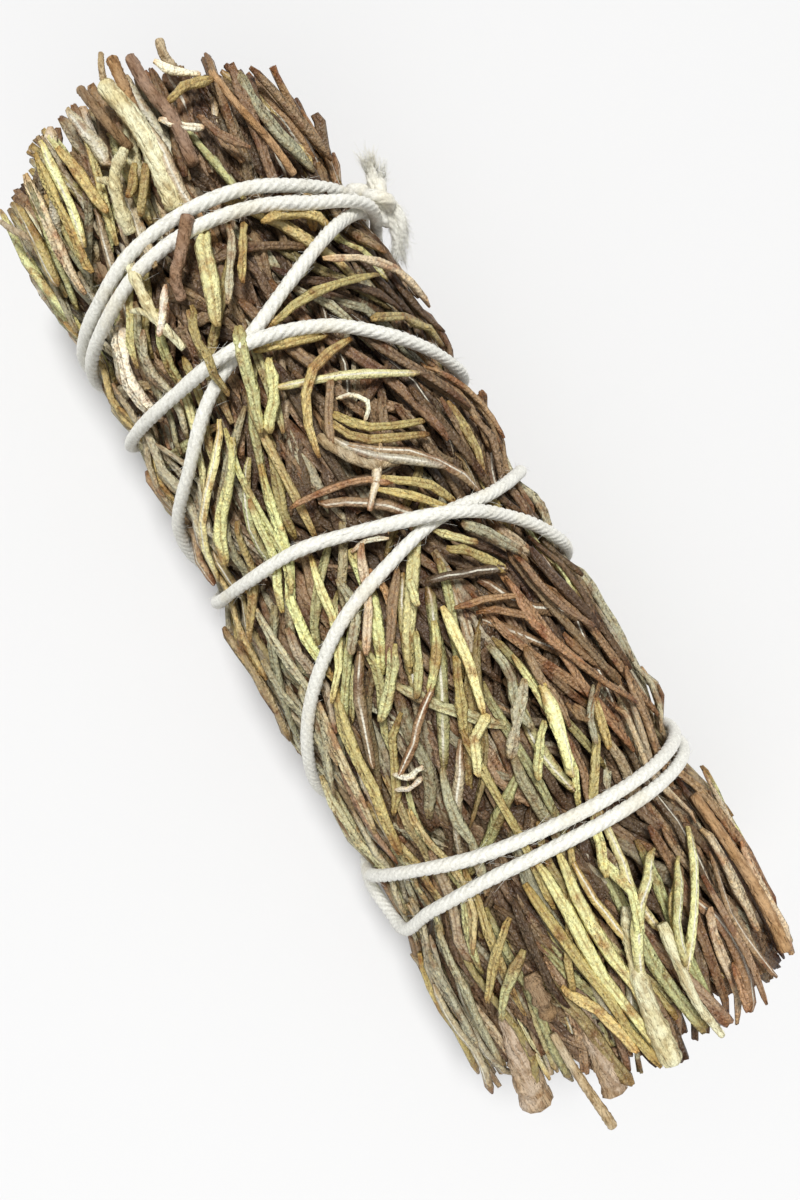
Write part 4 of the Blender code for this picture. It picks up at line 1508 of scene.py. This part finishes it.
PLACED = tuple(PlacedNeedle.read(row) for row in """
0.82 YELLOW_OLIVE: -30.4 -11 0.3, -27.7 -14 1.1, -25.5 -14 1.1, -22.6 -17 0.2
1.23 PALE_GREEN: -26.6 -2 0.8, -24.6 -5 0.9, -22 -8 0.5, -18.1 -12 0.1
1.11 PALE_GREEN: -23.2 1 0.3, -20.6 -3 0.5, -17.7 -10 0.1
0.82 PALE_GREEN over: -20.8 -2 0, -19.7 11 0.5, -18.3 24 0.6, -16.5 42 0.4
0.94 YELLOW_OLIVE: -24.9 -2 -0.3, -23.8 8 0.3, -23.2 22 -0.2
0.82 YELLOW_OLIVE: -25.8 5 -0.2, -26.5 20 0.4, -26.5 33 0.5, -26.4 51 0.2
0.78 PALE_GREEN: -27.6 12 0, -28.6 20 0.5, -29.5 30 0.5
0.9 TAN: -29.3 34 0.3, -28.4 45 0.4, -26.8 64 0.3, -23.3 80 0
0.86 YELLOW_OLIVE: -21.8 28 0.4, -21.2 16 0.6, -20.1 8 0.7, -16.9 1 0.5, -13.8 -1 0
0.82 BROWN: -19.2 14 0.3, -16.9 8 0.5, -14.2 4 0.1
0.85 YELLOW_OLIVE: -16.4 6 -0.3, -13.6 12 0.4, -12 24 0.3, -11.2 33 -0.3
0.49 CREAM over: -17.5 12 0.1, -17 18 0.5, -15.7 20 0.6, -14.7 16 0.1
0.9 GREY_OLIVE over: -14.9 5 0, -12.5 10 0.5, -10.4 20 0.5, -7.9 32 0
1.15 PALE_GREEN: 24.8 -5 -0.3, 30.2 -4 0.3, 35.1 -5 0.3, 40.1 -3 0.3, 43.4 -1 0.3
1.07 PALE_GREEN: 24.9 2 -0.3, 29.4 0 0.3, 34.1 0 0.3, 38.2 1 0.3, 41.6 0 0.3
1.02 PALE_GREEN: 24.8 17 -0.3, 26.8 13 0.3, 28.9 10 0.2
1.11 YELLOW_OLIVE: 26 -11 -0.3, 30.3 -10 0.3, 34.6 -8 0.3, 38.5 -6 0.3, 42.1 -6 0.3, 44.8 -3 0.2
0.82 YELLOW_OLIVE over: 26.4 4 -0.3, 29.9 4 0.3, 32.6 5 0.3, 34.8 6 0.2
1.07 YELLOW_OLIVE: 35.2 -17 -0.3, 38.3 -11 0.3, 42.9 -7 0.2
0.94 PALE_GREEN over: 30 43 -0.3, 35.2 29 0.3, 37.9 20 0.3, 39.5 15 0.2
0.66 YELLOW_OLIVE: 32.5 30 -0.3, 33.8 23 0.3, 36.7 19 0.2
0.9 GREY_OLIVE: 26.8 -47 -0.3, 31.9 -46 0.3, 36.8 -49 0.3, 40.7 -50 0.2
0.9 GREY_OLIVE: 28.9 -56 -0.3, 33.7 -55 0.3, 38.9 -57 0.2
0.9 YELLOW_OLIVE: 28 -20 -0.3, 30.7 -30 0.3, 34.4 -41 0.2
0.98 PALE_GREEN: 30.9 -21 0.3, 33.2 -31 0.3, 36.3 -40 0.2
0.7 BROWN: 34 38 -0.3, 37.3 36 0.3, 41.3 36 0.3, 46 33 0.2
0.74 BROWN over: 33.1 46 -0.3, 36.9 39 0.3, 40.6 38 0.3, 45.2 42 0.2
0.82 RUST: 41.4 31 -0.3, 43.3 28 0.3, 45.2 26 0.2
0.9 DARK_BROWN: 26.7 -16 -0.3, 31.3 -18 0.3, 35.5 -19 0.3, 37.1 -18 0.2
0.98 YELLOW_OLIVE: -49.7 -32 0.2, -46.3 -34 0.3, -42.5 -35 0.3, -38.5 -37 -0.3
0.94 PALE_GREEN over: -50.1 -28 0.2, -46.6 -30 0.3, -42.8 -31 0.3, -40.5 -34 -0.3
1.15 GREY_OLIVE over: -50.6 -15 0.2, -47.7 -13 0.3, -44.5 -12 -0.3
1.11 YELLOW_OLIVE: -48.6 -24 0.2, -45.4 -22 0.3, -41.4 -20 -0.3
1.39 PALE_GREEN: -36.5 4 0.1, -33.8 0 0.3, -31 -3 0.3, -27.8 -8 0
0.78 YELLOW_OLIVE: -35 16 0.3, -32.2 10 0.3, -29.9 5 0
0.78 GREY_OLIVE: -35.6 12 0.2, -32.6 7 0.3, -28.9 -2 0
0.9 YELLOW_OLIVE: -46.6 13 0.3, -47.3 20 0.3, -47.3 30 0.2
0.82 CREAM over: -50.4 16 0.3, -48.9 20 0.3, -47.9 27 0.2
0.74 CREAM: -45.6 8 0.2, -44.2 13 0.3, -43.3 19 0.2
0.74 BROWN: -44.5 19 0.2, -42 23 0.3, -40.3 29 0.2
1.15 GREY_OLIVE: -47.6 40 0.2, -44.2 40 0.3, -40.5 43 0.3, -37.5 51 -0.2
1.23 BROWN: -47.9 46 0.2, -45 53 0.3, -41.7 59 0.3, -39.1 67 -0.2
0.74 CREAM over: -33.2 -15 0.3, -31.7 -19 0.3, -29.9 -25 0.2
0.82 YELLOW_OLIVE: -43.4 -5 0.3, -42.1 -8 0.3, -41.2 -12 0.2
0.74 YELLOW_OLIVE: -42.8 -2 0.3, -40.8 -7 0.3, -39.5 -12 0.2
1.07 YELLOW_OLIVE: -34.1 21 0.2, -34.5 29 0.3, -33.8 40 0.3, -32.2 48 0.2
0.66 RUST: -11.4 -16 0.4, -11.2 -6 0.5, -10.6 5 0.5, -8.9 14 0.3
0.78 TAN over: -12.3 17 0.4, -10.1 11 0.5, -7.8 4 0.2
0.86 BROWN over: -14 5 -0.3, -12.3 14 0.3, -10.2 25 0.3, -7 35 0.3, -4.4 44 0.2
0.8 YELLOW_OLIVE: -16.9 8 -0.4, -14.3 15 0.4, -13 26 0.3, -12.4 34 -0.3
0.85 YELLOW_OLIVE: -10 11 -0.4, -7.3 23 0.3, -5 31 0.2
0.85 YELLOW_OLIVE: -9.4 8 -0.4, -6.5 20 0.3, -4.3 30 0.2
0.74 PALE_GREEN: -3.8 19 0.2, -2.1 23 0.3, -0.9 27 0.2
0.94 YELLOW_OLIVE: -1.9 18 0.1, 0 25 0.3, 2.4 30 0.2
1.23 GREY_OLIVE: -3.1 27 0, -0.9 33 0.3, 1.7 39 0.2
0.78 RUST: 4.1 16 -0.3, 5.1 24 0.5, 7.5 30 0.5, 11.8 36 0.5, 16 45 0.5, 18.7 52 0.2
0.82 RUST: 2.9 30 -0.3, 6.6 29 0.4, 9.5 32 0.4, 13.1 39 0.2
0.74 BROWN: 1.6 37 -0.3, 5.2 39 0.4, 8.5 45 0.4, 10.8 53 0.2
0.61 RUST: 2.9 11 -0.3, 3.8 22 0.5, 5 31 0.2
0.9 DARK_BROWN over: -0.3 8 -0.3, 0.6 18 0.4, 2.3 31 0.2
0.78 PALE_GREEN: -1.1 4 0.3, 0 3 0.5, 1.2 2 0.2
0.94 PALE_GREEN: 2.9 4 0.3, 5.5 0 0.3, 7.9 -7 0.2
0.94 PALE_GREEN: 2.2 8 0.2, 6.4 7 0.3, 9.4 5 0.3, 11.7 3 0.2
0.82 PALE_GREEN: 2.9 -2 0.3, 5.1 -5 0.3, 7.9 -11 0.2
1.19 PALE_GREEN: 2.9 -9 0.3, 5.5 -15 0.3, 8.2 -24 0.2
0.9 BROWN over: 2.1 -19 -0.3, 4.7 -25 0.3, 8.3 -30 0.3, 11.5 -34 0.2
0.98 YELLOW_OLIVE: 6.3 4 0.3, 9.4 0 0.3, 12.6 -5 0.2
1.15 GREY_OLIVE: 11 18 0.3, 13.3 11 0.3, 16.1 3 0.2
1.23 PALE_GREEN over: 12.2 22 0.3, 16.3 20 0.3, 20.3 16 0.2
0.9 PALE_GREEN: 14.9 17 0.3, 16.9 11 0.3, 18.9 7 0.2
0.98 PALE_GREEN: 11.9 4 0.3, 13.1 -2 0.3, 16.1 -7 0.2
0.74 RUST over: 7.4 -5 0.3, 9.2 -12 0.6, 11.1 -18 0.6, 13 -28 0.2
0.49 CREAM: -5.6 -7 0.2, -5.8 -1 0.4, -5 5 0.2
0.82 YELLOW_OLIVE: 15.7 36 0.2, 18.2 33 0.4, 20.2 31 0.2
0.74 GREY_OLIVE: 14.9 38 0.2, 16.8 31 0.5, 19.1 28 0.2
0.6 CREAM over: 12.6 -29 0.3, 13.4 -25 0.5, 13.1 -19 0.3
0.55 CREAM over: 13.9 -31 0.2, 14.3 -26 0.4, 13.9 -21 0.2
0.57 RUST: 14.7 26 0.1, 16.7 28 0.2, 15 41 0.5
1.05 PALE_GREEN over: 29.2 27 0.3, 30.8 19 0.7, 32.6 11 1, 35.6 6 1, 38 4 0.4
0.95 PALE_GREEN: 27.2 11 0.1, 29.8 13 0.7, 32.2 11 1, 35 7 0.5
0.95 PALE_GREEN over: 31.2 33 0.2, 33.2 25 0.8, 36 18 1.1, 38.4 16 0.9
0.9 TAN: -5.8 -3 -0.3, -3 -8 0.4, 0.4 -13 0.4, 2.6 -18 0
0.95 GREY_OLIVE: -4.2 -14 -0.2, -1.2 -16 0.4, 2 -22 0
0.85 BROWN: -2.6 3 -0.2, -0.2 -3 0.4, 2.4 -9 0.4, 4.4 -14 0
0.7 RUST: -3.6 -5 -0.2, -1.4 -4 0.5, 1.6 -6 0.2
0.8 BROWN: 8.8 24 -0.2, 11.4 22 0.4, 14.2 24 0.4, 16.6 23 0
0.9 GREY_OLIVE: 7 14 -0.2, 9.6 15 0.4, 12.6 12 0.3, 15 13 0
1.1 TAN over: -47 2 0, -43.6 4 0.5, -40 3 0.4, -37.6 4 -0.3
1.15 TAN: -49.2 -40 0.2, -45.6 -42 0.4, -41.6 -44 0.3, -37.8 -45 -0.3
1.15 YELLOW_OLIVE over: -48.4 -51 0.2, -44.6 -52 0.4, -40.4 -55 -0.2
""".strip().splitlines())


@dataclass
class Stems:
    """The woody stems: the main ones inside each sprig, and the twigs that show outside."""

    outer_place: float = 10.7 * MM
    inner_place: float = 3.5 * MM
    sides: int = 10
    rings: int = 44
    beside_outer: int = 4
    beside_inner: int = 2
    main_radii: tuple[float, float] = (0.95, 1.3)
    side_radii: tuple[float, float] = (0.45, 0.85)
    woods: tuple[tuple[Tone, float], ...] = (
        (Tone.ORANGE_WOOD, 0.3), (Tone.TAN, 0.3), (Tone.BROWN, 0.25), (Tone.CREAM, 0.15),
    )
    pattern: bpy.types.Mesh = field(init=False)
    rng: Chance = field(default_factory=lambda: np.random.default_rng(SEED + 2))

    def __post_init__(self) -> None:
        """Makes the tube that every stem copies."""
        self.pattern = tube_pattern(self.sides, self.rings)

    def build(self, wood: bpy.types.Material) -> None:
        """Makes every sprig's stems.

        Args:
            wood: What they are made of.
        """
        for sprig in SPRIGS:
            surface = Surface(f"{sprig.name}_stems")
            angle = math.radians(sprig.first + sprig.span / 2)
            place = self.outer_place if sprig.outer else self.inner_place
            self.add_main(surface, angle, place, self.rng.uniform(*self.main_radii) * MM)
            for _ in range(self.beside_outer if sprig.outer else self.beside_inner):
                off = angle + math.radians(self.rng.uniform(-17, 17) * (1 if sprig.outer else 3))
                out = place + self.rng.uniform(-2.4, 2.2) * MM
                self.add_main(surface, off, max(out, 1.2 * MM), self.rng.uniform(*self.side_radii) * MM)
            for twig in TWIGS:
                if sprig.outer and lane_of(math.radians(twig.route[0][1])) == sprig.number:
                    self.add_twig(surface, twig)
            piece = surface.finish(wood)
            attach(piece, "root")
            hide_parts(f"{sprig.name}_stem")

    def add_tube(self, surface: Surface, path: Array, outward: Array, radii: Array, tint: Array) -> None:
        """Adds a stem with cut ends.

        Args:
            surface: What it joins.
            path: Centre line with one point for each ring.
            outward: Rough up direction at each.
            radii: Its radius at each.
            tint: Its colour.
        """
        turn, ring = rings_along(path, outward, self.sides)
        rough = 1 + self.rng.normal(0, 0.05, (len(path), self.sides, 1))
        spots = path[:, None] + ring * radii[:, None, None] * rough
        along = np.repeat(np.linspace(0, 1, len(path)), self.sides)
        lie = np.stack([np.tile(np.cos(turn), len(path)), along, np.tile(np.sin(turn), len(path))], axis=1)
        surface.add(self.pattern, spots.reshape(-1, 3), tint, lie)

    def add_main(self, surface: Surface, angle: float, place: float, thick: float) -> None:
        """Adds a stem that runs from one trimmed end to the other inside the bundle.

        Args:
            surface: What it joins.
            angle: Where it lies round the bundle.
            place: How far from the axis.
            thick: Its radius.
        """
        rng = self.rng
        low = ROLL.end(True, angle) + rng.uniform(-1.2, 2.2) * MM
        high = ROLL.end(False, angle) + rng.uniform(-2.2, 1.4) * MM
        t = np.linspace(0, 1, self.rings)
        sway = rng.normal(0, 0.5 * MM, 2)
        aside = place * math.sin(angle) + sway[0] * np.sin(3 * math.pi * t)
        up = place * math.cos(angle) + sway[1] * np.sin(2 * math.pi * t)
        path = np.stack([low + (high - low) * t, aside, up], axis=1) + np.array(ROLL.axis)
        radii = thick * (1 - 0.25 * t if rng.random() < 0.5 else 0.75 + 0.25 * t)
        radii = radii * (1 + 0.12 * np.sin(t * 90 + rng.uniform(0, 6)) ** 8)
        radii[[0, -1]] *= 0.9
        tone = self.woods[rng.choice(len(self.woods), p=[share for _, share in self.woods])][0]
        self.add_tube(surface, path, outward_at(np.full(self.rings, angle)), radii, np.array(tone.value))

    def add_twig(self, surface: Surface, twig: Twig) -> None:
        """Adds a twig that shows on the outside.

        Args:
            surface: What it joins.
            twig: Its route and look.
        """
        x, angle, radius, t = run_through(twig.route, self.rings)
        radius = radius - SUNK * max(twig.radius, twig.tip_radius) * MM
        radii = np.linspace(twig.radius, twig.tip_radius, self.rings) * MM
        radii *= 1 + twig.knots * np.abs(np.sin(math.pi * t / twig.knot_spacing)) ** 6
        radii[0] *= 0.85
        radii[-1] *= 0.8
        tint = np.array(twig.tone.value) * self.rng.uniform(0.9, 1.1)
        self.add_tube(surface, ROLL.point(x, angle, radius), outward_at(angle), radii, tint)


def run_through(route: Route, count: int) -> tuple[Array, Array, Array, Array]:
    """A smooth line over the bundle's surface.

    Args:
        route: Points of x in mm, angle in degrees and height in mm.
        count: How many points the line has.

    Returns:
        Its x, angle and radius, and how far along it each point is in mm.
    """
    points = np.array(route, float)
    reach = np.concatenate([[0], np.cumsum(np.hypot(np.diff(points[:, 0]), np.diff(points[:, 1]) * 0.3))])
    t = np.linspace(0, reach[-1], count)
    x, angle, height = (smooth_through(t, reach, column) for column in points.T)
    angle = np.radians(angle)
    return x * MM, angle, ROLL.radius(x * MM, angle) + height * MM, t


@dataclass
class CottonString:
    """The wound string, its knot and its frayed tails, laid from twisted plies."""

    plies: int = 5
    pitch: float = 4.6 * MM
    step: float = 0.4 * MM
    groove: float = 0.15
    hairs: int = 3400
    tail_hairs: tuple[int, ...] = (160, 380, 480, 260, 320)
    hair_sides: int = 3
    hair_rings: int = 4
    hair_lengths: tuple[float, float] = (0.5, 1.7)
    hair_radius: float = 0.018
    hair_taper: float = 0.01
    fray: float = -0.55
    ply_points: int = 4
    knot_x: float = -34.2 * MM
    knot_angle: float = 78.0
    knot_lift: float = 1.3 * MM
    knot_size: float = 0.66
    rng: Chance = field(default_factory=lambda: np.random.default_rng(SEED + 3))

    def knot_point(self, along: float, around: float, out: float) -> Array:
        """A point near the knot.

        Args:
            along: Millimetres from its middle along the bundle.
            around: The same round it.
            out: The same away from its axis.

        Returns:
            The point in the model's frame.
        """
        angle = math.radians(self.knot_angle)
        centre = ROLL.point(self.knot_x, angle, ROLL.radius(self.knot_x, angle) + self.knot_lift)
        sine, cosine = math.sin(angle), math.cos(angle)
        axes = np.array([(1, 0, 0), (0, cosine, -sine), (0, sine, cosine)])
        return centre + np.array((along, around, out)) @ axes * MM

    def runs(self) -> list[Array]:
        """The string's centre lines.

        Returns:
            Those of the winding, of the knot's loop and of each strand of the two tails.
        """
        wound = ROLL.point(*WINDING.route(2.0).T)
        wound = np.vstack([self.knot_point(0.9, -0.2, -0.4), wound, self.knot_point(-1.6, 0.4, -0.4)])
        size = self.knot_size
        loop = np.array([
            self.knot_point(
                size * (math.sin(t) + 2 * math.sin(2 * t)), size * (math.cos(t) - 2 * math.cos(2 * t)),
                -1.1 * size * math.sin(3 * t),
            )
            for t in np.linspace(0, math.tau, 60)
        ])
        tails = (
            ((-0.4, 0, 0), (-0.9, 0, 0), (-1.8, -0.1, 0.2), (-2.7, -0.4, 0.6), (-3.6, -0.9, 0.9)),
            ((0.4, 0, 0), (0.9, 0.1, 0), (2.1, 0.6, 0), (3.4, 1.1, -0.4), (4.8, 1.5, -1.2)),
            ((-0.4, 0.2, 0.1), (-0.9, 0.4, 0.2), (-1.5, 0.6, 0.5), (-2.1, 0.5, 0.9), (-2.6, 0.2, 1.2)),
            ((0.4, 0.2, 0.3), (0.9, 0.2, 0.6), (1.8, 0.4, 0.8), (2.8, 0.8, 0.5), (3.7, 1.2, -0.1)),
        )
        return [wound, loop] + [np.array([self.knot_point(*point) for point in tail]) for tail in tails]

    def resampled(self, run: Array, step: float) -> Array:
        """A centre line with evenly spaced points.

        Args:
            run: Its points.
            step: Distance between the new ones.

        Returns:
            The new points.
        """
        reach = np.concatenate([[0], np.cumsum(np.linalg.norm(np.diff(run, axis=0), axis=1))])
        at = np.linspace(0, reach[-1], max(4, int(reach[-1] / step)))
        return np.stack([smooth_through(at, reach, run[:, k]) for k in range(3)], axis=1)

    def profile(self) -> bpy.types.Object:
        """The string's cross-section, with a lobe for each ply.

        Returns:
            A closed curve, which isn't in the scene.
        """
        curve = bpy.data.curves.new("ply_profile", "CURVE")
        curve.dimensions = "2D"
        spline = curve.splines.new("POLY")
        count = self.plies * self.ply_points
        spline.points.add(count - 1)
        for index, point in enumerate(spline.points):
            turn = index / count * math.tau
            grooved = 1 - self.groove * (index % self.ply_points == 0) + 0.03
            radius = WINDING.drawn_tight * WINDING.diameter / 2 * grooved
            point.co = (radius * math.cos(turn), radius * math.sin(turn), 0, 1)
        spline.use_cyclic_u = True
        return bpy.data.objects.new("ply_profile", curve)

    def laid(self, run: Array, profile: bpy.types.Object, fray: float) -> bpy.types.Mesh:
        """The twisted string along one centre line.

        Args:
            run: The centre line.
            profile: Its cross-section.
            fray: How much its last part loosens.

        Returns:
            Its mesh.
        """
        points = self.resampled(run, self.step)
        curve = bpy.data.curves.new("string_run", "CURVE")
        curve.dimensions = "3D"
        curve.twist_mode = "MINIMUM"
        curve.bevel_mode = "OBJECT"
        curve.bevel_object = profile
        curve.use_fill_caps = True
        spline = curve.splines.new("POLY")
        spline.points.add(len(points) - 1)
        spline.points.foreach_set("co", np.c_[points, np.ones(len(points))].astype(np.float32).ravel())
        wobble = np.convolve(self.rng.normal(0, 1, len(points) + 8), np.ones(9) / 9, "valid") * 0.09
        last = np.clip((np.arange(len(points)) / len(points) - 0.6) / 0.4, 0, 1)
        spline.points.foreach_set("radius", (1 + wobble + fray * last).astype(np.float32))
        turns = -np.arange(len(points)) * self.step / self.pitch * math.tau
        spline.points.foreach_set("tilt", turns.astype(np.float32))
        holder = put("string_run", curve)
        graph = bpy.context.evaluated_depsgraph_get()
        mesh = bpy.data.meshes.new_from_object(holder.evaluated_get(graph))
        bpy.data.objects.remove(holder)
        return mesh

    def build(self, cotton: bpy.types.Material) -> None:
        """Makes the string.

        Args:
            cotton: What it is made of.
        """
        profile = self.profile()
        surface = Surface("cotton_string")
        runs = self.runs()
        for index, run in enumerate(runs):
            mesh = self.laid(run, profile, self.fray if index > 1 else 0.0)
            spots = np.empty(3 * len(mesh.vertices), np.float32)
            mesh.vertices.foreach_get("co", spots)
            spots = spots.reshape(-1, 3).astype(float)
            spots[:, 2] = np.maximum(spots[:, 2], 0.01 * MM)
            surface.add(mesh, spots, np.ones(3), np.zeros((len(spots), 3)))
        self.add_fuzz(surface, [self.resampled(run, self.step) for run in runs])
        bpy.data.objects.remove(profile)
        piece = surface.finish(cotton)
        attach(piece, "root")
        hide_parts("string")

    def add_fuzz(self, surface: Surface, runs: list[Array]) -> None:
        """Adds the loose fibres that stand out of the string, with more on its tails.

        Args:
            surface: What they join.
            runs: The centre lines.
        """
        pattern = tube_pattern(self.hair_sides, self.hair_rings)
        rng = self.rng
        t = np.linspace(0, 1, self.hair_rings)[:, None]
        thin = (self.hair_radius - self.hair_taper * t[:, :, None]) * MM
        for index, (run, count) in enumerate(zip(runs, (self.hairs, *self.tail_hairs))):
            for _ in range(count):
                i = int(rng.integers(1, len(run) - 1))
                if index > 1 and rng.random() < 0.5:
                    i = int(len(run) - 1 - rng.integers(0, 3))
                forward = run[min(i + 1, len(run) - 1)] - run[i - 1]
                forward /= np.linalg.norm(forward)
                out = np.cross(forward, rng.normal(0, 1, 3))
                out /= np.linalg.norm(out)
                length = rng.uniform(*self.hair_lengths) * MM
                start = run[i] + out * WINDING.diameter / 2 * 0.85
                sway = rng.normal(0, 1, 3)
                way = 1 if index > 1 else rng.choice((-1, 1))
                heading = forward * way * rng.uniform(0.6, 1) + out * rng.uniform(0.05, 0.35)
                path = start + length * (heading * t + 0.3 * sway * t**2 * (1 - 0.3 * t))
                path[:, 2] = np.maximum(path[:, 2], 0.05 * MM)
                outward = np.tile(out + 0.01 * sway, (self.hair_rings, 1))
                _, ring = rings_along(path, outward, self.hair_sides)
                spots = (path[:, None] + ring * thin).reshape(-1, 3)
                surface.add(pattern, spots, np.ones(3), np.zeros((len(spots), 3)))


@dataclass(frozen=True)
class Studio:
    """A white paper floor, soft light from above and the camera."""

    camera_height: float = 106 * MM
    camera_turn: float = 60.0
    lens: float = 31.8
    floor_size: float = 6.0
    key: float = 3.2
    softness: float = 15.0
    key_from: tuple[float, float, float] = (-0.30, 0.16, 1)
    fill: float = 0.4
    fill_size: float = 0.4
    fill_place: tuple[float, float, float] = (0.26, -0.18, 0.40)
    air: float = 0.27
    wall: float = 0.82

    def build(self, paper: bpy.types.Material) -> None:
        """Makes the floor, the lights and the camera.

        Args:
            paper: The floor's finish.
        """
        self.lay_floor(paper)
        self.hang_lights()
        self.surround()
        bpy.context.scene.view_settings.view_transform = "Standard"
        data = bpy.data.cameras.new("camera")
        data.lens = self.lens
        data.sensor_width = 36
        data.clip_start = 0.005
        camera = put("camera", data)
        camera.location = Vector(ROLL.axis) + Vector((0, -0.4 * MM, self.camera_height))
        camera.rotation_euler = (0, 0, math.radians(self.camera_turn))
        bpy.context.scene.camera = camera

    def surround(self) -> None:
        """Makes the even light from all round, and the white wall that the camera sees."""
        world = bpy.data.worlds.new("studio_air")
        world.use_nodes = True
        tree = world.node_tree
        lit, wall = tree.nodes["Background"], tree.nodes.new("ShaderNodeBackground")
        for node, strength in ((lit, self.air), (wall, self.wall)):
            node.inputs["Color"].default_value = (1, 1, 1, 1)
            node.inputs["Strength"].default_value = strength
        seen = tree.nodes.new("ShaderNodeLightPath")
        both = tree.nodes.new("ShaderNodeMixShader")
        tree.links.new(seen.outputs["Is Camera Ray"], both.inputs["Fac"])
        tree.links.new(lit.outputs["Background"], both.inputs[1])
        tree.links.new(wall.outputs["Background"], both.inputs[2])
        tree.links.new(both.outputs["Shader"], tree.nodes["World Output"].inputs["Surface"])
        bpy.context.scene.world = world

    def lay_floor(self, paper: bpy.types.Material) -> None:
        """Makes the floor.

        Args:
            paper: Its finish.
        """
        bm = bmesh.new()
        bmesh.ops.create_grid(bm, x_segments=2, y_segments=2, size=self.floor_size / 2)
        mesh = bpy.data.meshes.new("floor")
        bm.to_mesh(mesh)
        bm.free()
        mesh.materials.append(paper)
        floor = put("floor", mesh)

    def hang_lights(self) -> None:
        """Hangs the main light, broad and even, above the -X end, and a weak soft one opposite."""
        data = bpy.data.lights.new("key", "SUN")
        data.energy, data.angle = self.key, math.radians(self.softness)
        put("key", data).rotation_euler = Vector(self.key_from).to_track_quat("Z", "Y").to_euler()
        data = bpy.data.lights.new("fill", "AREA")
        data.size, data.energy = self.fill_size, self.fill
        lamp = put("fill", data)
        lamp.location = self.fill_place
        away = Vector(ROLL.axis) - Vector(self.fill_place)
        lamp.rotation_euler = away.to_track_quat("-Z", "Y").to_euler()


def main() -> None:
    """Builds the bundle and its surroundings in order."""
    logging.basicConfig(level=logging.INFO, format="%(name)s: %(message)s")
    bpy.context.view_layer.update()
    Sprigs().build(LeafFinish().make())
    Stems().build(WoodFinish().make())
    CottonString().build(CottonFinish().make())
    Studio().build(FloorFinish().make())


if __name__ == "__main__":
    main()
